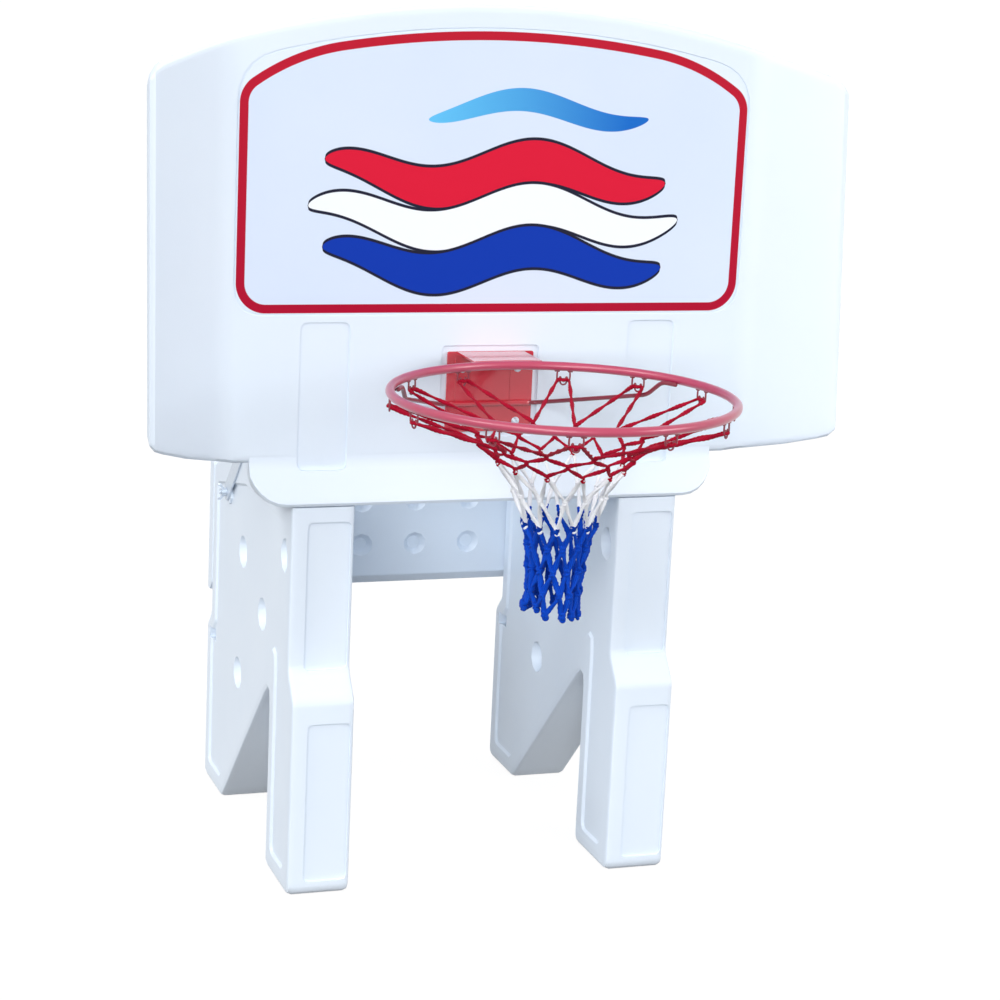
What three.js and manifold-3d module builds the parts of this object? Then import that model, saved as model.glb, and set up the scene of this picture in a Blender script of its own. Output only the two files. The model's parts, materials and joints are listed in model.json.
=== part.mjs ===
// Poolside basketball hoop: two moulded ballast panels, a rear cross panel, a winged board and a netted rim.
// Millimetres, +Z up, the pool lies towards -Y. Heights are above the deck, depths behind the board's face.
import * as THREE from "three";
import { mergeVertices } from "three/addons/utils/BufferGeometryUtils.js";
import Module from "manifold-3d";

const wasm = await Module();
wasm.setup();

// Fits shared by every piece
const FIT = 0.3;
const OVERRUN = 6;
const WELD = 0.001;
const HALF_TURN = Math.PI;
const QUARTER_TURN = Math.PI / 2;
const radians = (degrees) => THREE.MathUtils.degToRad(degrees);

// Backboard
const BOARD_THICKNESS = 45;
const BOARD_FLAT_HALF = 385;
const BOARD_APEX_HEIGHT = 1320;
const BOARD_BASE_HEIGHT = 651;
const BOARD_ARCH_RADIUS = 1480;
const BOARD_EDGE_RADIUS = 14;
const WING_BEND_RADIUS = 90;
const WING_ANGLE = radians(26.5);
const WING_LENGTH = 118;
const WING_RISE = 44;
const WING_DRAFT_SHARE = 0.3;
const WING_SWEEP = 40;
const BOARD_TOP_CORNER_RADIUS = 26;
const BOARD_BASE_CORNER_RADIUS = 17;
const BOARD_SPANS = 12;
const BEND_SPANS = 3;
const WING_SPANS = 2;
const CORNER_SPANS = 3;

// Foot of the board, a lip that leans forward over the ballast panels
const LIP_HALF_WIDTH = 364;
const LIP_REACH = 34;
const LIP_DROP = 61;
const LIP_BASE_HEIGHT = BOARD_BASE_HEIGHT - LIP_DROP;
const LIP_CORNER_RADIUS = 54;
const LIP_EDGE_RADIUS = 9;
const LIP_INSET = 0.5;
const LIP_SPANS = 5;

// Shallow fields in the board's face
const CHANNEL_INNER = 216.5;
const CHANNEL_OUTER = 291;
const CHANNEL_RISE = 207.5;
const CHANNEL_DEPTH = 2.5;
const CHANNEL_CORNER_RADIUS = 11;
const BRACKET_FIELD_MARGIN = 9;
const BRACKET_FIELD_DEPTH = 3;
const BRACKET_FIELD_CORNER = 8;

// Face decal
const DECAL_HALF_WIDTH = 389.5;
const DECAL_RISE = 220;
const DECAL_APEX_HEIGHT = 1283;
const DECAL_ARCH_RADIUS = 1440;
const DECAL_BASE_RADIUS = 46;
const DECAL_SHOULDER_RADIUS = 74;
const DECAL_THICKNESS = 0.9;
const DECAL_FIELD_DEPTH = 1.4;
const DECAL_FIELD_MARGIN = 2.5;
const DECAL_ARCH_POINTS = 14;

// Ballast panels: one moulding, used on both sides
const PANEL_INNER_FACE = 206;
const PANEL_THICKNESS = 97;
const PANEL_EDGE_RADIUS = 9;
const PANEL_CORNER_RADIUS = 16;
const PANEL_FRONT = -26;
const PANEL_TOE = -59;
const PANEL_HEEL = 518.6;
const HEEL_DEPTH = 27.6;
const HEEL_LENGTH = 124.6;
const SHOULDER_TOP_HEIGHT = 342;
const SHOULDER_BASE_HEIGHT = 304;
const SHOULDER_RADIUS = 26;
const ARCH_FRONT = 84;
const ARCH_PEAK_HEIGHT = 297;
const ARCH_RADIUS = 19;
const HEEL_LEDGE_DROP = 29;
const HEEL_STEP_DROP = 28;
const DECK_RISE = 35;
const DECK_SLOPE_LENGTH = 221;
const REAR_CORNER_DROP = 80;
const TONGUE_RISE = 250;
const TONGUE_DEPTH = 50;
const TONGUE_FILLET = 24;
const FIELD_MARGIN = 30;
const FIELD_DEPTH = 4;
const FACE_FIELD_START = 25;
const FACE_FIELD_MARGIN = 6;
const FACE_FIELD_TOP_HEIGHT = 567;
const FACE_FIELD_SPLIT_HEIGHT = 268;
const FACE_FIELD_BASE_HEIGHT = 22;
const FACE_FIELD_DEPTH = 3.5;
const FACE_FIELD_CORNER = 9;

// Dimples and slots of the ballast panels: depth and height of each dimple as shares of the panel
const DIMPLE_RADIUS = 29;
const DIMPLE_TIP_RADIUS = 8;
const DIMPLE_DEPTH = 34;
const DIMPLE_SHARES = [
  [0.6, 0.712],
  [0.138, 0.811],
  [0.368, 0.608],
  [0.634, 0.384],
];
const SLOT_DEPTH = 24;
const SLOT_LENGTH = 28;
const SLOT_HEIGHT = 20;
const SLOT_DROP = 12;
const SLOT_MARGIN = 38;

// Rear cross panel
const CROSS_HEIGHT = 220;
const CROSS_BEVEL = 16;
const CROSS_EDGE_RADIUS = 3;
const CROSS_CORNER_RADIUS = 6;
const CROSS_DIMPLE_RADIUS = 19.5;
const CROSS_DIMPLE_FLOOR_RADIUS = 11;
const CROSS_DIMPLE_DEPTH = 10;
const CROSS_DIMPLE_SPACING = 94;
const CROSS_DIMPLE_COLUMNS = 4;
const CROSS_DIMPLE_DROPS = [150, 74];

// Rim, a round bar ring
const RIM_RADIUS = 236.5;
const RIM_BAR_RADIUS = 8;
const RIM_REACH = 318;
const RIM_RISE = 156;
const RIM_HEIGHT = BOARD_BASE_HEIGHT + RIM_RISE;
const RIM_SEGMENTS = 60;
const RIM_BAR_SIDES = 10;

// Rim bracket, brace rod and back plate
const BRACKET_HALF_WIDTH = 67;
const BRACKET_RISE = 6.8;
const BRACKET_DROP = 120.8;
const BRACKET_METAL = 3.5;
const SHELF_HALF_WIDTH = 52;
const SHELF_SEAT = 6;
const ROD_RADIUS = 3.2;
const ROD_DROP = 71;
const ROD_SIDES = 8;
const ROD_SPANS = 2;
const ROD_CLEAR = 8;
const ROD_KNEE_SPREAD = 182;
const ROD_KNEE_REACH = 172;
const ROD_KNEE_DROP = 28.6;
const ROD_TAB_DROP = 5.7;
const ROD_TAB_START = radians(32);
const ROD_TAB_END = radians(25);
const BACK_PLATE_METAL = 3;
const BACK_PLATE_MARGIN = 14;

// Net hooks, bent wire under the rim
const HOOK_TURNS = [15, 43, 70, 110, 137, 165, 195, 225, 255, 285, 315, 345].map(radians);
const HOOK_WIRE_RADIUS = 1.6;
const HOOK_HALF_WIDTH = 11;
const HOOK_DROP = 19;
const HOOK_HUMP = 8;
const HOOK_LOOP_SHARE = 0.56;
const HOOK_SIDES = 5;
const HOOK_STEPS = 10;

// Net: each row's drop as a share of the net's length and its radius as a share of the rim's
const NET_LENGTH = 294;
const NET_CORD_RADIUS = 3;
const NET_SIDES = 4;
const NET_LAY_SHARE = 0.7;
const NET_ROW_SHARES = [
  [0, 1],
  [0.171, 0.507],
  [0.216, 0.457],
  [0.282, 0.381],
  [0.415, 0.278],
  [0.56, 0.214],
  [0.655, 0.2],
  [0.765, 0.18],
  [0.875, 0.17],
  [1, 0.166],
];
const RED_ROWS = 3;
const WHITE_ROWS = 5;

// Bolts, nuts and holes
const BOLT_RADIUS = 4;
const BOLT_HEAD_RADIUS = 8;
const BOLT_HEAD_HEIGHT = 5;
const NUT_ACROSS = 7.5;
const NUT_HEIGHT = 6;
const BOLT_TAIL = 3;
const BOLT_BITE = 24;
const ROUND_SIDES = 10;
const BRACKET_BOLT_MARGIN = 24;
const BRACKET_BOLT_BASE = 15;
const BRACKET_BOLT_RISE = 80;
const TONGUE_BOLT_DROPS = [140, 50];
const CROSS_BOLT_DROPS = [160, 55];

// Steel braces from the ballast panels to the board's back
const BRACE_METAL = 3;
const BRACE_WIDTH = 28;
const BRACE_FOOT_INSET = 106;
const BRACE_FOOT_DROP = 25;
const BRACE_ANGLE = radians(43);
const BRACE_FLANGE = 30;
const BRACE_FOOT_POINTS = 6;
const BRACE_PAD_RADIUS = 20;
const BRACE_SCREW_BITE = 16;
const WING_HUB_RADIUS = 7;
const WING_HUB_HEIGHT = 8;
const WING_SPREAD = 13;
const WING_TIP_HEIGHT = 15;
const WING_METAL = 3;

// Fill necks, gaskets and screw caps on the ballast panels
const NECK_RADIUS = 26;
const NECK_RISE = 9;
const NECK_BORE_RADIUS = 18;
const NECK_BORE_DEPTH = 46;
const GASKET_METAL = 2;
const CAP_RADIUS = 29;
const CAP_HEIGHT = 11;
const CAP_PLUG_RADIUS = 17;
const CAP_PLUG_LENGTH = 16;
const CAP_GRIP_METAL = 7;
const CAP_GRIP_RISE = 10;
const CAP_GRIP_SPREAD = 22;
const CAP_SIDES = 24;

// Materials
const paint = (color, roughness, metalness) =>
  new THREE.MeshStandardMaterial({ color, roughness, metalness });
const WHITE_PLASTIC = [0xe9f0fa, 0.45, 0];
const DECAL_FILM = [0xf4f6fb, 0.25, 0];
const RED_ENAMEL = [0xc23a46, 0.35, 0];
const DARK_RED_ENAMEL = [0x9c2231, 0.35, 0];
const RED_CORD = [0xb3152f, 0.8, 0];
const WHITE_CORD = [0xf2f2f2, 0.8, 0];
const BLUE_CORD = [0x0f49b8, 0.8, 0];
const ZINC = [0xb8bec6, 0.4, 0.9];
const RUBBER = [0x1c1d20, 0.85, 0];

// Positions that several pieces share
const NET_TURN = HALF_TURN / HOOK_TURNS.length;
const BOARD_BACK = BOARD_THICKNESS;
const PANEL_TOP_HEIGHT = LIP_BASE_HEIGHT - FIT;
const PANEL_BLANK_HEIGHT = LIP_BASE_HEIGHT + PANEL_CORNER_RADIUS;
const DECK_HEIGHT = LIP_BASE_HEIGHT + DECK_RISE;
const REAR_CORNER_HEIGHT = DECK_HEIGHT - REAR_CORNER_DROP;
const CROSS_BASE_HEIGHT = REAR_CORNER_HEIGHT - CROSS_HEIGHT;
const HEEL_LEDGE_HEIGHT = CROSS_BASE_HEIGHT - HEEL_LEDGE_DROP;
const HEEL_STEP_HEIGHT = HEEL_LEDGE_HEIGHT - HEEL_STEP_DROP;
const SLOT_CENTRE_HEIGHT = HEEL_STEP_HEIGHT - SLOT_DROP;
const PANEL_REAR = PANEL_HEEL - HEEL_DEPTH;
const ARCH_HEEL = PANEL_HEEL - HEEL_LENGTH;
const DECK_REAR = PANEL_REAR - DECK_SLOPE_LENGTH;
const BRACE_FOOT_DEPTH = PANEL_REAR - BRACE_FOOT_INSET;
const TONGUE_HEIGHT = LIP_BASE_HEIGHT + TONGUE_RISE;
const BRACE_FOOT_HEIGHT = REAR_CORNER_HEIGHT - BRACE_FOOT_DROP;
const TONGUE_BOLT_HEIGHTS = TONGUE_BOLT_DROPS.map((drop) => TONGUE_HEIGHT - drop);
const CROSS_BOLT_HEIGHTS = CROSS_BOLT_DROPS.map((drop) => REAR_CORNER_HEIGHT - drop);
const CROSS_DIMPLE_ROW_HEIGHTS = CROSS_DIMPLE_DROPS.map((drop) => REAR_CORNER_HEIGHT - drop);
const CHANNEL_TOP_HEIGHT = BOARD_BASE_HEIGHT + CHANNEL_RISE;
const DECAL_BASE_HEIGHT = BOARD_BASE_HEIGHT + DECAL_RISE;
const TONGUE_FRONT = BOARD_BACK + FIT;
const TONGUE_REAR = TONGUE_FRONT + TONGUE_DEPTH;
const NECK_DEPTH = (TONGUE_REAR + DECK_REAR) / 2;
const PANEL_OUTER_FACE = PANEL_INNER_FACE + PANEL_THICKNESS;
const PANEL_CENTRE = PANEL_INNER_FACE + PANEL_THICKNESS / 2;
const BRACKET_TOP_HEIGHT = RIM_HEIGHT + BRACKET_RISE;
const SHELF_BASE_HEIGHT = BRACKET_TOP_HEIGHT - BRACKET_METAL;
const BRACKET_BASE_HEIGHT = BRACKET_TOP_HEIGHT - BRACKET_DROP;
const BRACKET_BACK = BRACKET_FIELD_DEPTH - FIT;
const BRACKET_FACE = BRACKET_BACK - BRACKET_METAL;
const BACK_PLATE_BACK = BOARD_BACK + FIT + BACK_PLATE_METAL;
const BOLT_HOLE_RADIUS = BOLT_RADIUS + FIT;
const BRACKET_BOLT_SPREAD = BRACKET_HALF_WIDTH - BRACKET_BOLT_MARGIN;
const BRACKET_BOLT_BASE_HEIGHT = BRACKET_BASE_HEIGHT + BRACKET_BOLT_BASE;
const BRACKET_BOLT_HEIGHTS = [
  BRACKET_BOLT_BASE_HEIGHT,
  BRACKET_BOLT_BASE_HEIGHT + BRACKET_BOLT_RISE,
];
const BRACE_TOP_HEIGHT =
  BRACE_FOOT_HEIGHT + (BRACE_FOOT_DEPTH - BOARD_BACK) * Math.tan(BRACE_ANGLE);
const BRACE_OUTER_FACE = PANEL_OUTER_FACE + FIT + BRACE_METAL;
const BRACE_SCREW_SPREAD = BRACE_OUTER_FACE + BRACE_FLANGE / 2;
const SIDES = { left: -1, right: 1 };

// Places a flat outline's plane: along x it lies in YZ, along y in XZ, along z in XY
const vector = (x, y, z) => new THREE.Vector3(x, y, z);
const PLANES = {
  x: new THREE.Matrix4().makeBasis(vector(0, 1, 0), vector(0, 0, 1), vector(1, 0, 0)),
  y: new THREE.Matrix4().makeBasis(vector(1, 0, 0), vector(0, 0, 1), vector(0, -1, 0)),
  z: new THREE.Matrix4(),
};

// Turns a closed geometry into a solid that can be cut and joined
function solidOf(geometry) {
  const bare = new THREE.BufferGeometry();
  bare.setAttribute("position", geometry.getAttribute("position").clone());
  if (geometry.index) bare.setIndex(geometry.index.clone());
  const merged = mergeVertices(bare, WELD);
  const vertProperties = new Float32Array(merged.attributes.position.array);
  const triVerts = new Uint32Array(merged.index.array);
  return new wasm.Manifold(new wasm.Mesh({ numProp: 3, vertProperties, triVerts }));
}

// Turns a solid back into a geometry
function geometryOf(solid) {
  const mesh = solid.getMesh();
  const geometry = new THREE.BufferGeometry();
  geometry.setAttribute("position", new THREE.BufferAttribute(mesh.vertProperties, 3));
  geometry.setIndex(new THREE.BufferAttribute(mesh.triVerts, 1));
  geometry.computeVertexNormals();
  return geometry;
}

// Joins the first geometry with some and cuts others from it
function carve(base, joined, cutters) {
  const whole = joined.reduce((sum, one) => sum.add(solidOf(one)), solidOf(base));
  return geometryOf(cutters.reduce((rest, one) => rest.subtract(solidOf(one)), whole));
}

// Rounds each corner of an outline; a corner is [x, y, radius]
function roundedOutline(corners, spans = 3) {
  const outline = [];
  corners.forEach(([x, y, radius], index) => {
    const corner = new THREE.Vector2(x, y);
    const [bx, by] = corners.at(index - 1);
    const [ax, ay] = corners[(index + 1) % corners.length];
    const before = new THREE.Vector2(bx, by).sub(corner);
    const after = new THREE.Vector2(ax, ay).sub(corner);
    if (!radius) {
      outline.push(corner);
      return;
    }
    const half = Math.acos(before.dot(after) / (before.length() * after.length())) / 2;
    const roomOn = (side, neighbour) => (neighbour[2] ? side.length() / 2 : side.length());
    const next = corners[(index + 1) % corners.length];
    const room = Math.min(roomOn(before, corners.at(index - 1)), roomOn(after, next));
    const tangent = Math.min(radius / Math.tan(half), room);
    const start = corner.clone().add(before.setLength(tangent));
    const end = corner.clone().add(after.setLength(tangent));
    outline.push(...new THREE.QuadraticBezierCurve(start, corner, end).getPoints(spans));
  });
  return outline;
}

// Moves every side of an outline inwards by one margin; the outline runs counter-clockwise
function insetCorners(corners, margin) {
  const count = corners.length;
  const sideOf = (index) => {
    const [x, y] = corners[index % count];
    const [nextX, nextY] = corners[(index + 1) % count];
    const along = new THREE.Vector2(nextX - x, nextY - y).normalize();
    const start = new THREE.Vector2(x - along.y * margin, y + along.x * margin);
    return { along, start };
  };
  return corners.map(([, , radius], index) => {
    const before = sideOf(index + count - 1);
    const after = sideOf(index);
    const gap = after.start.clone().sub(before.start);
    const reach = gap.cross(after.along) / before.along.cross(after.along);
    const corner = before.start.clone().addScaledVector(before.along, reach);
    return [corner.x, corner.y, radius];
  });
}

// Extrudes an outline from start to end along an axis, with rounded or chamfered rims
function prism(outline, axis, start, end, edge = 0, edgeSpans = 2) {
  const geometry = new THREE.ExtrudeGeometry(new THREE.Shape(outline), {
    depth: end - start - 2 * edge,
    bevelEnabled: edge > 0,
    bevelThickness: edge,
    bevelSize: edge,
    bevelOffset: -edge,
    bevelSegments: edgeSpans,
    steps: 1,
  });
  geometry.translate(0, 0, axis === "y" ? edge - end : edge + start);
  return geometry.applyMatrix4(PLANES[axis]);
}

// A rectangle's corners, from its lower left round
function rectangle(left, base, right, top, radius = 0) {
  return [
    [left, base, radius],
    [right, base, radius],
    [right, top, radius],
    [left, top, radius],
  ];
}

// A round bar along x or y, from start to end, about a centre given in the two other axes
function bar(axis, first, second, start, end, radius, endRadius = radius) {
  const geometry = new THREE.CylinderGeometry(endRadius, radius, end - start, ROUND_SIDES);
  if (axis === "x") geometry.rotateZ(-QUARTER_TURN).translate((start + end) / 2, first, second);
  if (axis === "y") geometry.translate(first, (start + end) / 2, second);
  if (axis === "z") geometry.rotateX(QUARTER_TURN).translate(first, second, (start + end) / 2);
  return geometry;
}

// Skins a row of rings that have the same number of points, with a flat cap on both ends
function loft(rings) {
  const size = rings[0].length;
  const points = rings.flat();
  const index = [];
  for (let ring = 0; ring + 1 < rings.length; ring += 1) {
    for (let side = 0; side < size; side += 1) {
      const a = ring * size + side;
      const b = ring * size + ((side + 1) % size);
      index.push(a, b, b + size, a, b + size, a + size);
    }
  }
  [0, rings.length - 1].forEach((ring) => {
    const hub = points.length;
    const centre = vector(0, 0, 0);
    rings[ring].forEach((point) => centre.addScaledVector(point, 1 / size));
    points.push(centre);
    for (let side = 0; side < size; side += 1) {
      const a = ring * size + side;
      const b = ring * size + ((side + 1) % size);
      index.push(...(ring === 0 ? [hub, b, a] : [hub, a, b]));
    }
  });
  const geometry = new THREE.BufferGeometry().setFromPoints(points).setIndex(index);
  geometry.computeVertexNormals();
  return geometry;
}

// Skins a round section along points; facing gives the way its first corner is turned from
function cord(points, radius, sides, facing) {
  const rings = points.map((point, index) => {
    const before = points[Math.max(index - 1, 0)];
    const after = points[Math.min(index + 1, points.length - 1)];
    const along = after.clone().sub(before).normalize();
    const across = along.clone().cross(facing(point)).normalize();
    const up = along.clone().cross(across);
    return Array.from({ length: sides }, (_, side) => {
      const roll = (2 * HALF_TURN * side) / sides;
      const spoke = across.clone().multiplyScalar(Math.cos(roll)).addScaledVector(up, Math.sin(roll));
      return point.clone().addScaledVector(spoke, radius);
    });
  });
  return loft(rings);
}

// A circle as a shape, for the section of a bent bar
function circle(radius, sides) {
  const turn = (2 * HALF_TURN) / sides;
  const at = (side) => new THREE.Vector2(radius, 0).rotateAround(new THREE.Vector2(), side * turn);
  return new THREE.Shape(Array.from({ length: sides }, (_, side) => at(side)));
}

// Drop of a circular arch at a distance from its middle
const archDrop = (radius, distance) => radius - Math.sqrt(Math.max(radius ** 2 - distance ** 2, 0));

// Plan of the board: the face's place and lean at a distance along it from the middle
function boardPlan(along) {
  const side = Math.sign(along);
  const beyond = Math.max(Math.abs(along) - BOARD_FLAT_HALF, 0);
  const bend = WING_BEND_RADIUS * WING_ANGLE;
  const lean = Math.min(beyond, bend) / WING_BEND_RADIUS;
  const straight = Math.max(beyond - bend, 0);
  const across =
    Math.min(Math.abs(along), BOARD_FLAT_HALF) +
    WING_BEND_RADIUS * Math.sin(lean) +
    straight * Math.cos(lean);
  const forward = WING_BEND_RADIUS * (1 - Math.cos(lean)) + straight * Math.sin(lean);
  return { x: side * across, y: -forward, lean: side * lean };
}

const BOARD_HALF_LENGTH = BOARD_FLAT_HALF + WING_BEND_RADIUS * WING_ANGLE + WING_LENGTH;
const BOARD_HALF_WIDTH = boardPlan(BOARD_HALF_LENGTH).x;

// Height of the board's top and bottom edges at a distance along it
function boardHeights(along) {
  const reach = Math.abs(boardPlan(along).x);
  const share = Math.max(reach - BOARD_FLAT_HALF, 0) / (BOARD_HALF_WIDTH - BOARD_FLAT_HALF);
  const corner = (radius) => {
    const past = Math.abs(along) - (BOARD_HALF_LENGTH - radius);
    return archDrop(radius, Math.max(past, 0));
  };
  const arch = archDrop(BOARD_ARCH_RADIUS, reach) + corner(BOARD_TOP_CORNER_RADIUS);
  const top = BOARD_APEX_HEIGHT - arch;
  const rise = (WING_RISE * share * (1 + share)) / 2 + corner(BOARD_BASE_CORNER_RADIUS);
  const base = BOARD_BASE_HEIGHT + rise;
  return { top, base };
}

// Distances along one half of the board at which its section is drawn
function boardStations() {
  const bend = WING_BEND_RADIUS * WING_ANGLE;
  const cornerStart = BOARD_HALF_LENGTH - BOARD_TOP_CORNER_RADIUS;
  const bendEnd = BOARD_FLAT_HALF + bend;
  const stations = [];
  for (let i = 0; i < BOARD_SPANS / 2; i += 1) stations.push((BOARD_FLAT_HALF * 2 * i) / BOARD_SPANS);
  for (let i = 0; i < BEND_SPANS; i += 1) stations.push(BOARD_FLAT_HALF + (bend * i) / BEND_SPANS);
  for (let i = 0; i < WING_SPANS; i += 1) {
    stations.push(bendEnd + ((cornerStart - bendEnd) * i) / WING_SPANS);
  }
  for (let i = 0; i <= CORNER_SPANS; i += 1) {
    const turn = (QUARTER_TURN * i) / CORNER_SPANS;
    stations.push(cornerStart + BOARD_TOP_CORNER_RADIUS * Math.sin(turn));
  }
  return stations;
}

// One section of the board; the wings' ends draw in a little towards the back
function boardSection(along) {
  const { x, y, lean } = boardPlan(along);
  const { top, base } = boardHeights(along);
  const past = Math.abs(along) - (BOARD_HALF_LENGTH - BOARD_EDGE_RADIUS);
  const inset = archDrop(BOARD_EDGE_RADIUS, Math.max(past, 0));
  const radius = Math.max(BOARD_EDGE_RADIUS - inset, BOARD_EDGE_RADIUS / 4);
  const corners = rectangle(inset, base, BOARD_THICKNESS - inset, top, radius);
  const draft = lean * WING_DRAFT_SHARE;
  const sweep = (WING_SWEEP * y) / boardPlan(BOARD_HALF_LENGTH).y;
  return roundedOutline(corners).map(({ x: depth, y: height }) => {
    const forward = (sweep * (top - height)) / (top - base);
    return vector(x - depth * Math.sin(draft), y + depth * Math.cos(draft) - forward, height);
  });
}

// The lip's section at a distance across the board: it leans forward and rounds under
function lipSection(across) {
  const past = Math.abs(across) - (LIP_HALF_WIDTH - LIP_CORNER_RADIUS);
  const round = archDrop(LIP_CORNER_RADIUS, Math.max(past, 0));
  const base = LIP_BASE_HEIGHT + round;
  const back = Math.max(BOARD_THICKNESS - round, LIP_EDGE_RADIUS) - LIP_INSET;
  const slope = LIP_REACH / (BOARD_BASE_HEIGHT - LIP_BASE_HEIGHT);
  const reach = slope * (BOARD_BASE_HEIGHT - base);
  const rise = BOARD_EDGE_RADIUS;
  const corners = [
    [LIP_INSET, BOARD_BASE_HEIGHT + rise, 0],
    [LIP_INSET, BOARD_BASE_HEIGHT, LIP_REACH],
    [-reach, base, LIP_EDGE_RADIUS],
    [back, base, LIP_EDGE_RADIUS],
    [back, BOARD_BASE_HEIGHT + rise, 0],
  ];
  return roundedOutline(corners).map(({ x: depth, y: height }) => vector(across, depth, height));
}

// Distances across the lip at which its section is drawn
function lipStations() {
  const straight = LIP_HALF_WIDTH - LIP_CORNER_RADIUS;
  const stations = [straight];
  for (let i = 1; i <= LIP_SPANS; i += 1) {
    const turn = (QUARTER_TURN * i) / (LIP_SPANS + 1);
    stations.push(straight + LIP_CORNER_RADIUS * Math.sin(turn));
  }
  return stations;
}

const mirrored = (stations) => [...stations.filter(Boolean).reverse().map((s) => -s), ...stations];

// Corners of the decal's outline with a margin round it
function decalOutline(margin) {
  const half = DECAL_HALF_WIDTH + margin;
  const radius = DECAL_ARCH_RADIUS + margin;
  const apex = DECAL_APEX_HEIGHT + margin;
  const base = DECAL_BASE_HEIGHT - margin;
  const inner = half - DECAL_SHOULDER_RADIUS;
  const onArch = (across, round) => [across, apex - archDrop(radius, across), round];
  const arch = Array.from({ length: DECAL_ARCH_POINTS + 1 }, (_, i) =>
    onArch(inner - (2 * inner * i) / DECAL_ARCH_POINTS, 0),
  );
  const shoulders = [half, -half].map((across) => onArch(across, DECAL_SHOULDER_RADIUS));
  const feet = [
    [-half, base, DECAL_BASE_RADIUS],
    [half, base, DECAL_BASE_RADIUS],
  ];
  return roundedOutline([...feet, shoulders[0], ...arch, shoulders[1]], 5);
}

// Winged board with its lip, fields and bolt holes
function backboard() {
  const lip = loft(mirrored(lipStations()).map(lipSection));
  const fieldHalf = BRACKET_HALF_WIDTH + BRACKET_FIELD_MARGIN;
  const fieldBase = BRACKET_BASE_HEIGHT - BRACKET_FIELD_MARGIN;
  const fieldTop = BRACKET_TOP_HEIGHT + BRACKET_FIELD_MARGIN;
  const field = rectangle(-fieldHalf, fieldBase, fieldHalf, fieldTop, BRACKET_FIELD_CORNER);
  const cutters = [
    prism(roundedOutline(field), "y", -OVERRUN, BRACKET_FIELD_DEPTH),
    prism(decalOutline(DECAL_FIELD_MARGIN), "y", -OVERRUN, DECAL_FIELD_DEPTH),
  ];
  Object.values(SIDES).forEach((side) => {
    const ends = [side * CHANNEL_INNER, side * CHANNEL_OUTER].sort((a, b) => a - b);
    const base = BOARD_BASE_HEIGHT - CHANNEL_CORNER_RADIUS;
    const channel = rectangle(ends[0], base, ends[1], CHANNEL_TOP_HEIGHT, CHANNEL_CORNER_RADIUS);
    cutters.push(prism(roundedOutline(channel), "y", -OVERRUN, CHANNEL_DEPTH));
    const behind = BOARD_BACK + OVERRUN;
    TONGUE_BOLT_HEIGHTS.forEach((height) => {
      const start = BOARD_BACK - BOLT_BITE - FIT;
      cutters.push(bar("y", side * PANEL_CENTRE, height, start, behind, BOLT_HOLE_RADIUS));
    });
    BRACKET_BOLT_HEIGHTS.forEach((height) => {
      const across = side * BRACKET_BOLT_SPREAD;
      cutters.push(bar("y", across, height, -OVERRUN, behind, BOLT_HOLE_RADIUS));
    });
    const start = BOARD_BACK - BRACE_SCREW_BITE - FIT;
    const across = side * BRACE_SCREW_SPREAD;
    cutters.push(bar("y", across, BRACE_TOP_HEIGHT, start, behind, BOLT_HOLE_RADIUS));
  });
  return carve(loft(mirrored(boardStations()).map(boardSection)), [lip], cutters);
}

// Side outline of a ballast panel, in depth and height, before its top is cut flat
const PANEL_CORNERS = [
  [PANEL_TOE, 0, PANEL_CORNER_RADIUS],
  [ARCH_FRONT, 0, PANEL_CORNER_RADIUS],
  [ARCH_FRONT, ARCH_PEAK_HEIGHT, ARCH_RADIUS],
  [ARCH_HEEL, 0, PANEL_CORNER_RADIUS],
  [PANEL_HEEL, 0, PANEL_CORNER_RADIUS],
  [PANEL_HEEL, HEEL_STEP_HEIGHT, PANEL_CORNER_RADIUS],
  [PANEL_REAR, HEEL_LEDGE_HEIGHT, PANEL_CORNER_RADIUS],
  [PANEL_REAR, REAR_CORNER_HEIGHT, PANEL_CORNER_RADIUS],
  [DECK_REAR, DECK_HEIGHT, PANEL_CORNER_RADIUS],
  [TONGUE_REAR, DECK_HEIGHT, TONGUE_FILLET],
  [TONGUE_REAR, TONGUE_HEIGHT, PANEL_CORNER_RADIUS],
  [TONGUE_FRONT, TONGUE_HEIGHT, PANEL_CORNER_RADIUS],
  [TONGUE_FRONT, PANEL_BLANK_HEIGHT, 0],
  [PANEL_FRONT, PANEL_BLANK_HEIGHT, 0],
  [PANEL_FRONT, SHOULDER_TOP_HEIGHT, SHOULDER_RADIUS],
  [PANEL_TOE, SHOULDER_BASE_HEIGHT, SHOULDER_RADIUS],
];
const FIELD_CORNERS = [
  ...PANEL_CORNERS.slice(0, 8),
  [DECK_REAR, PANEL_TOP_HEIGHT, PANEL_CORNER_RADIUS],
  [PANEL_FRONT, PANEL_TOP_HEIGHT, PANEL_CORNER_RADIUS],
  ...PANEL_CORNERS.slice(14),
];

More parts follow.
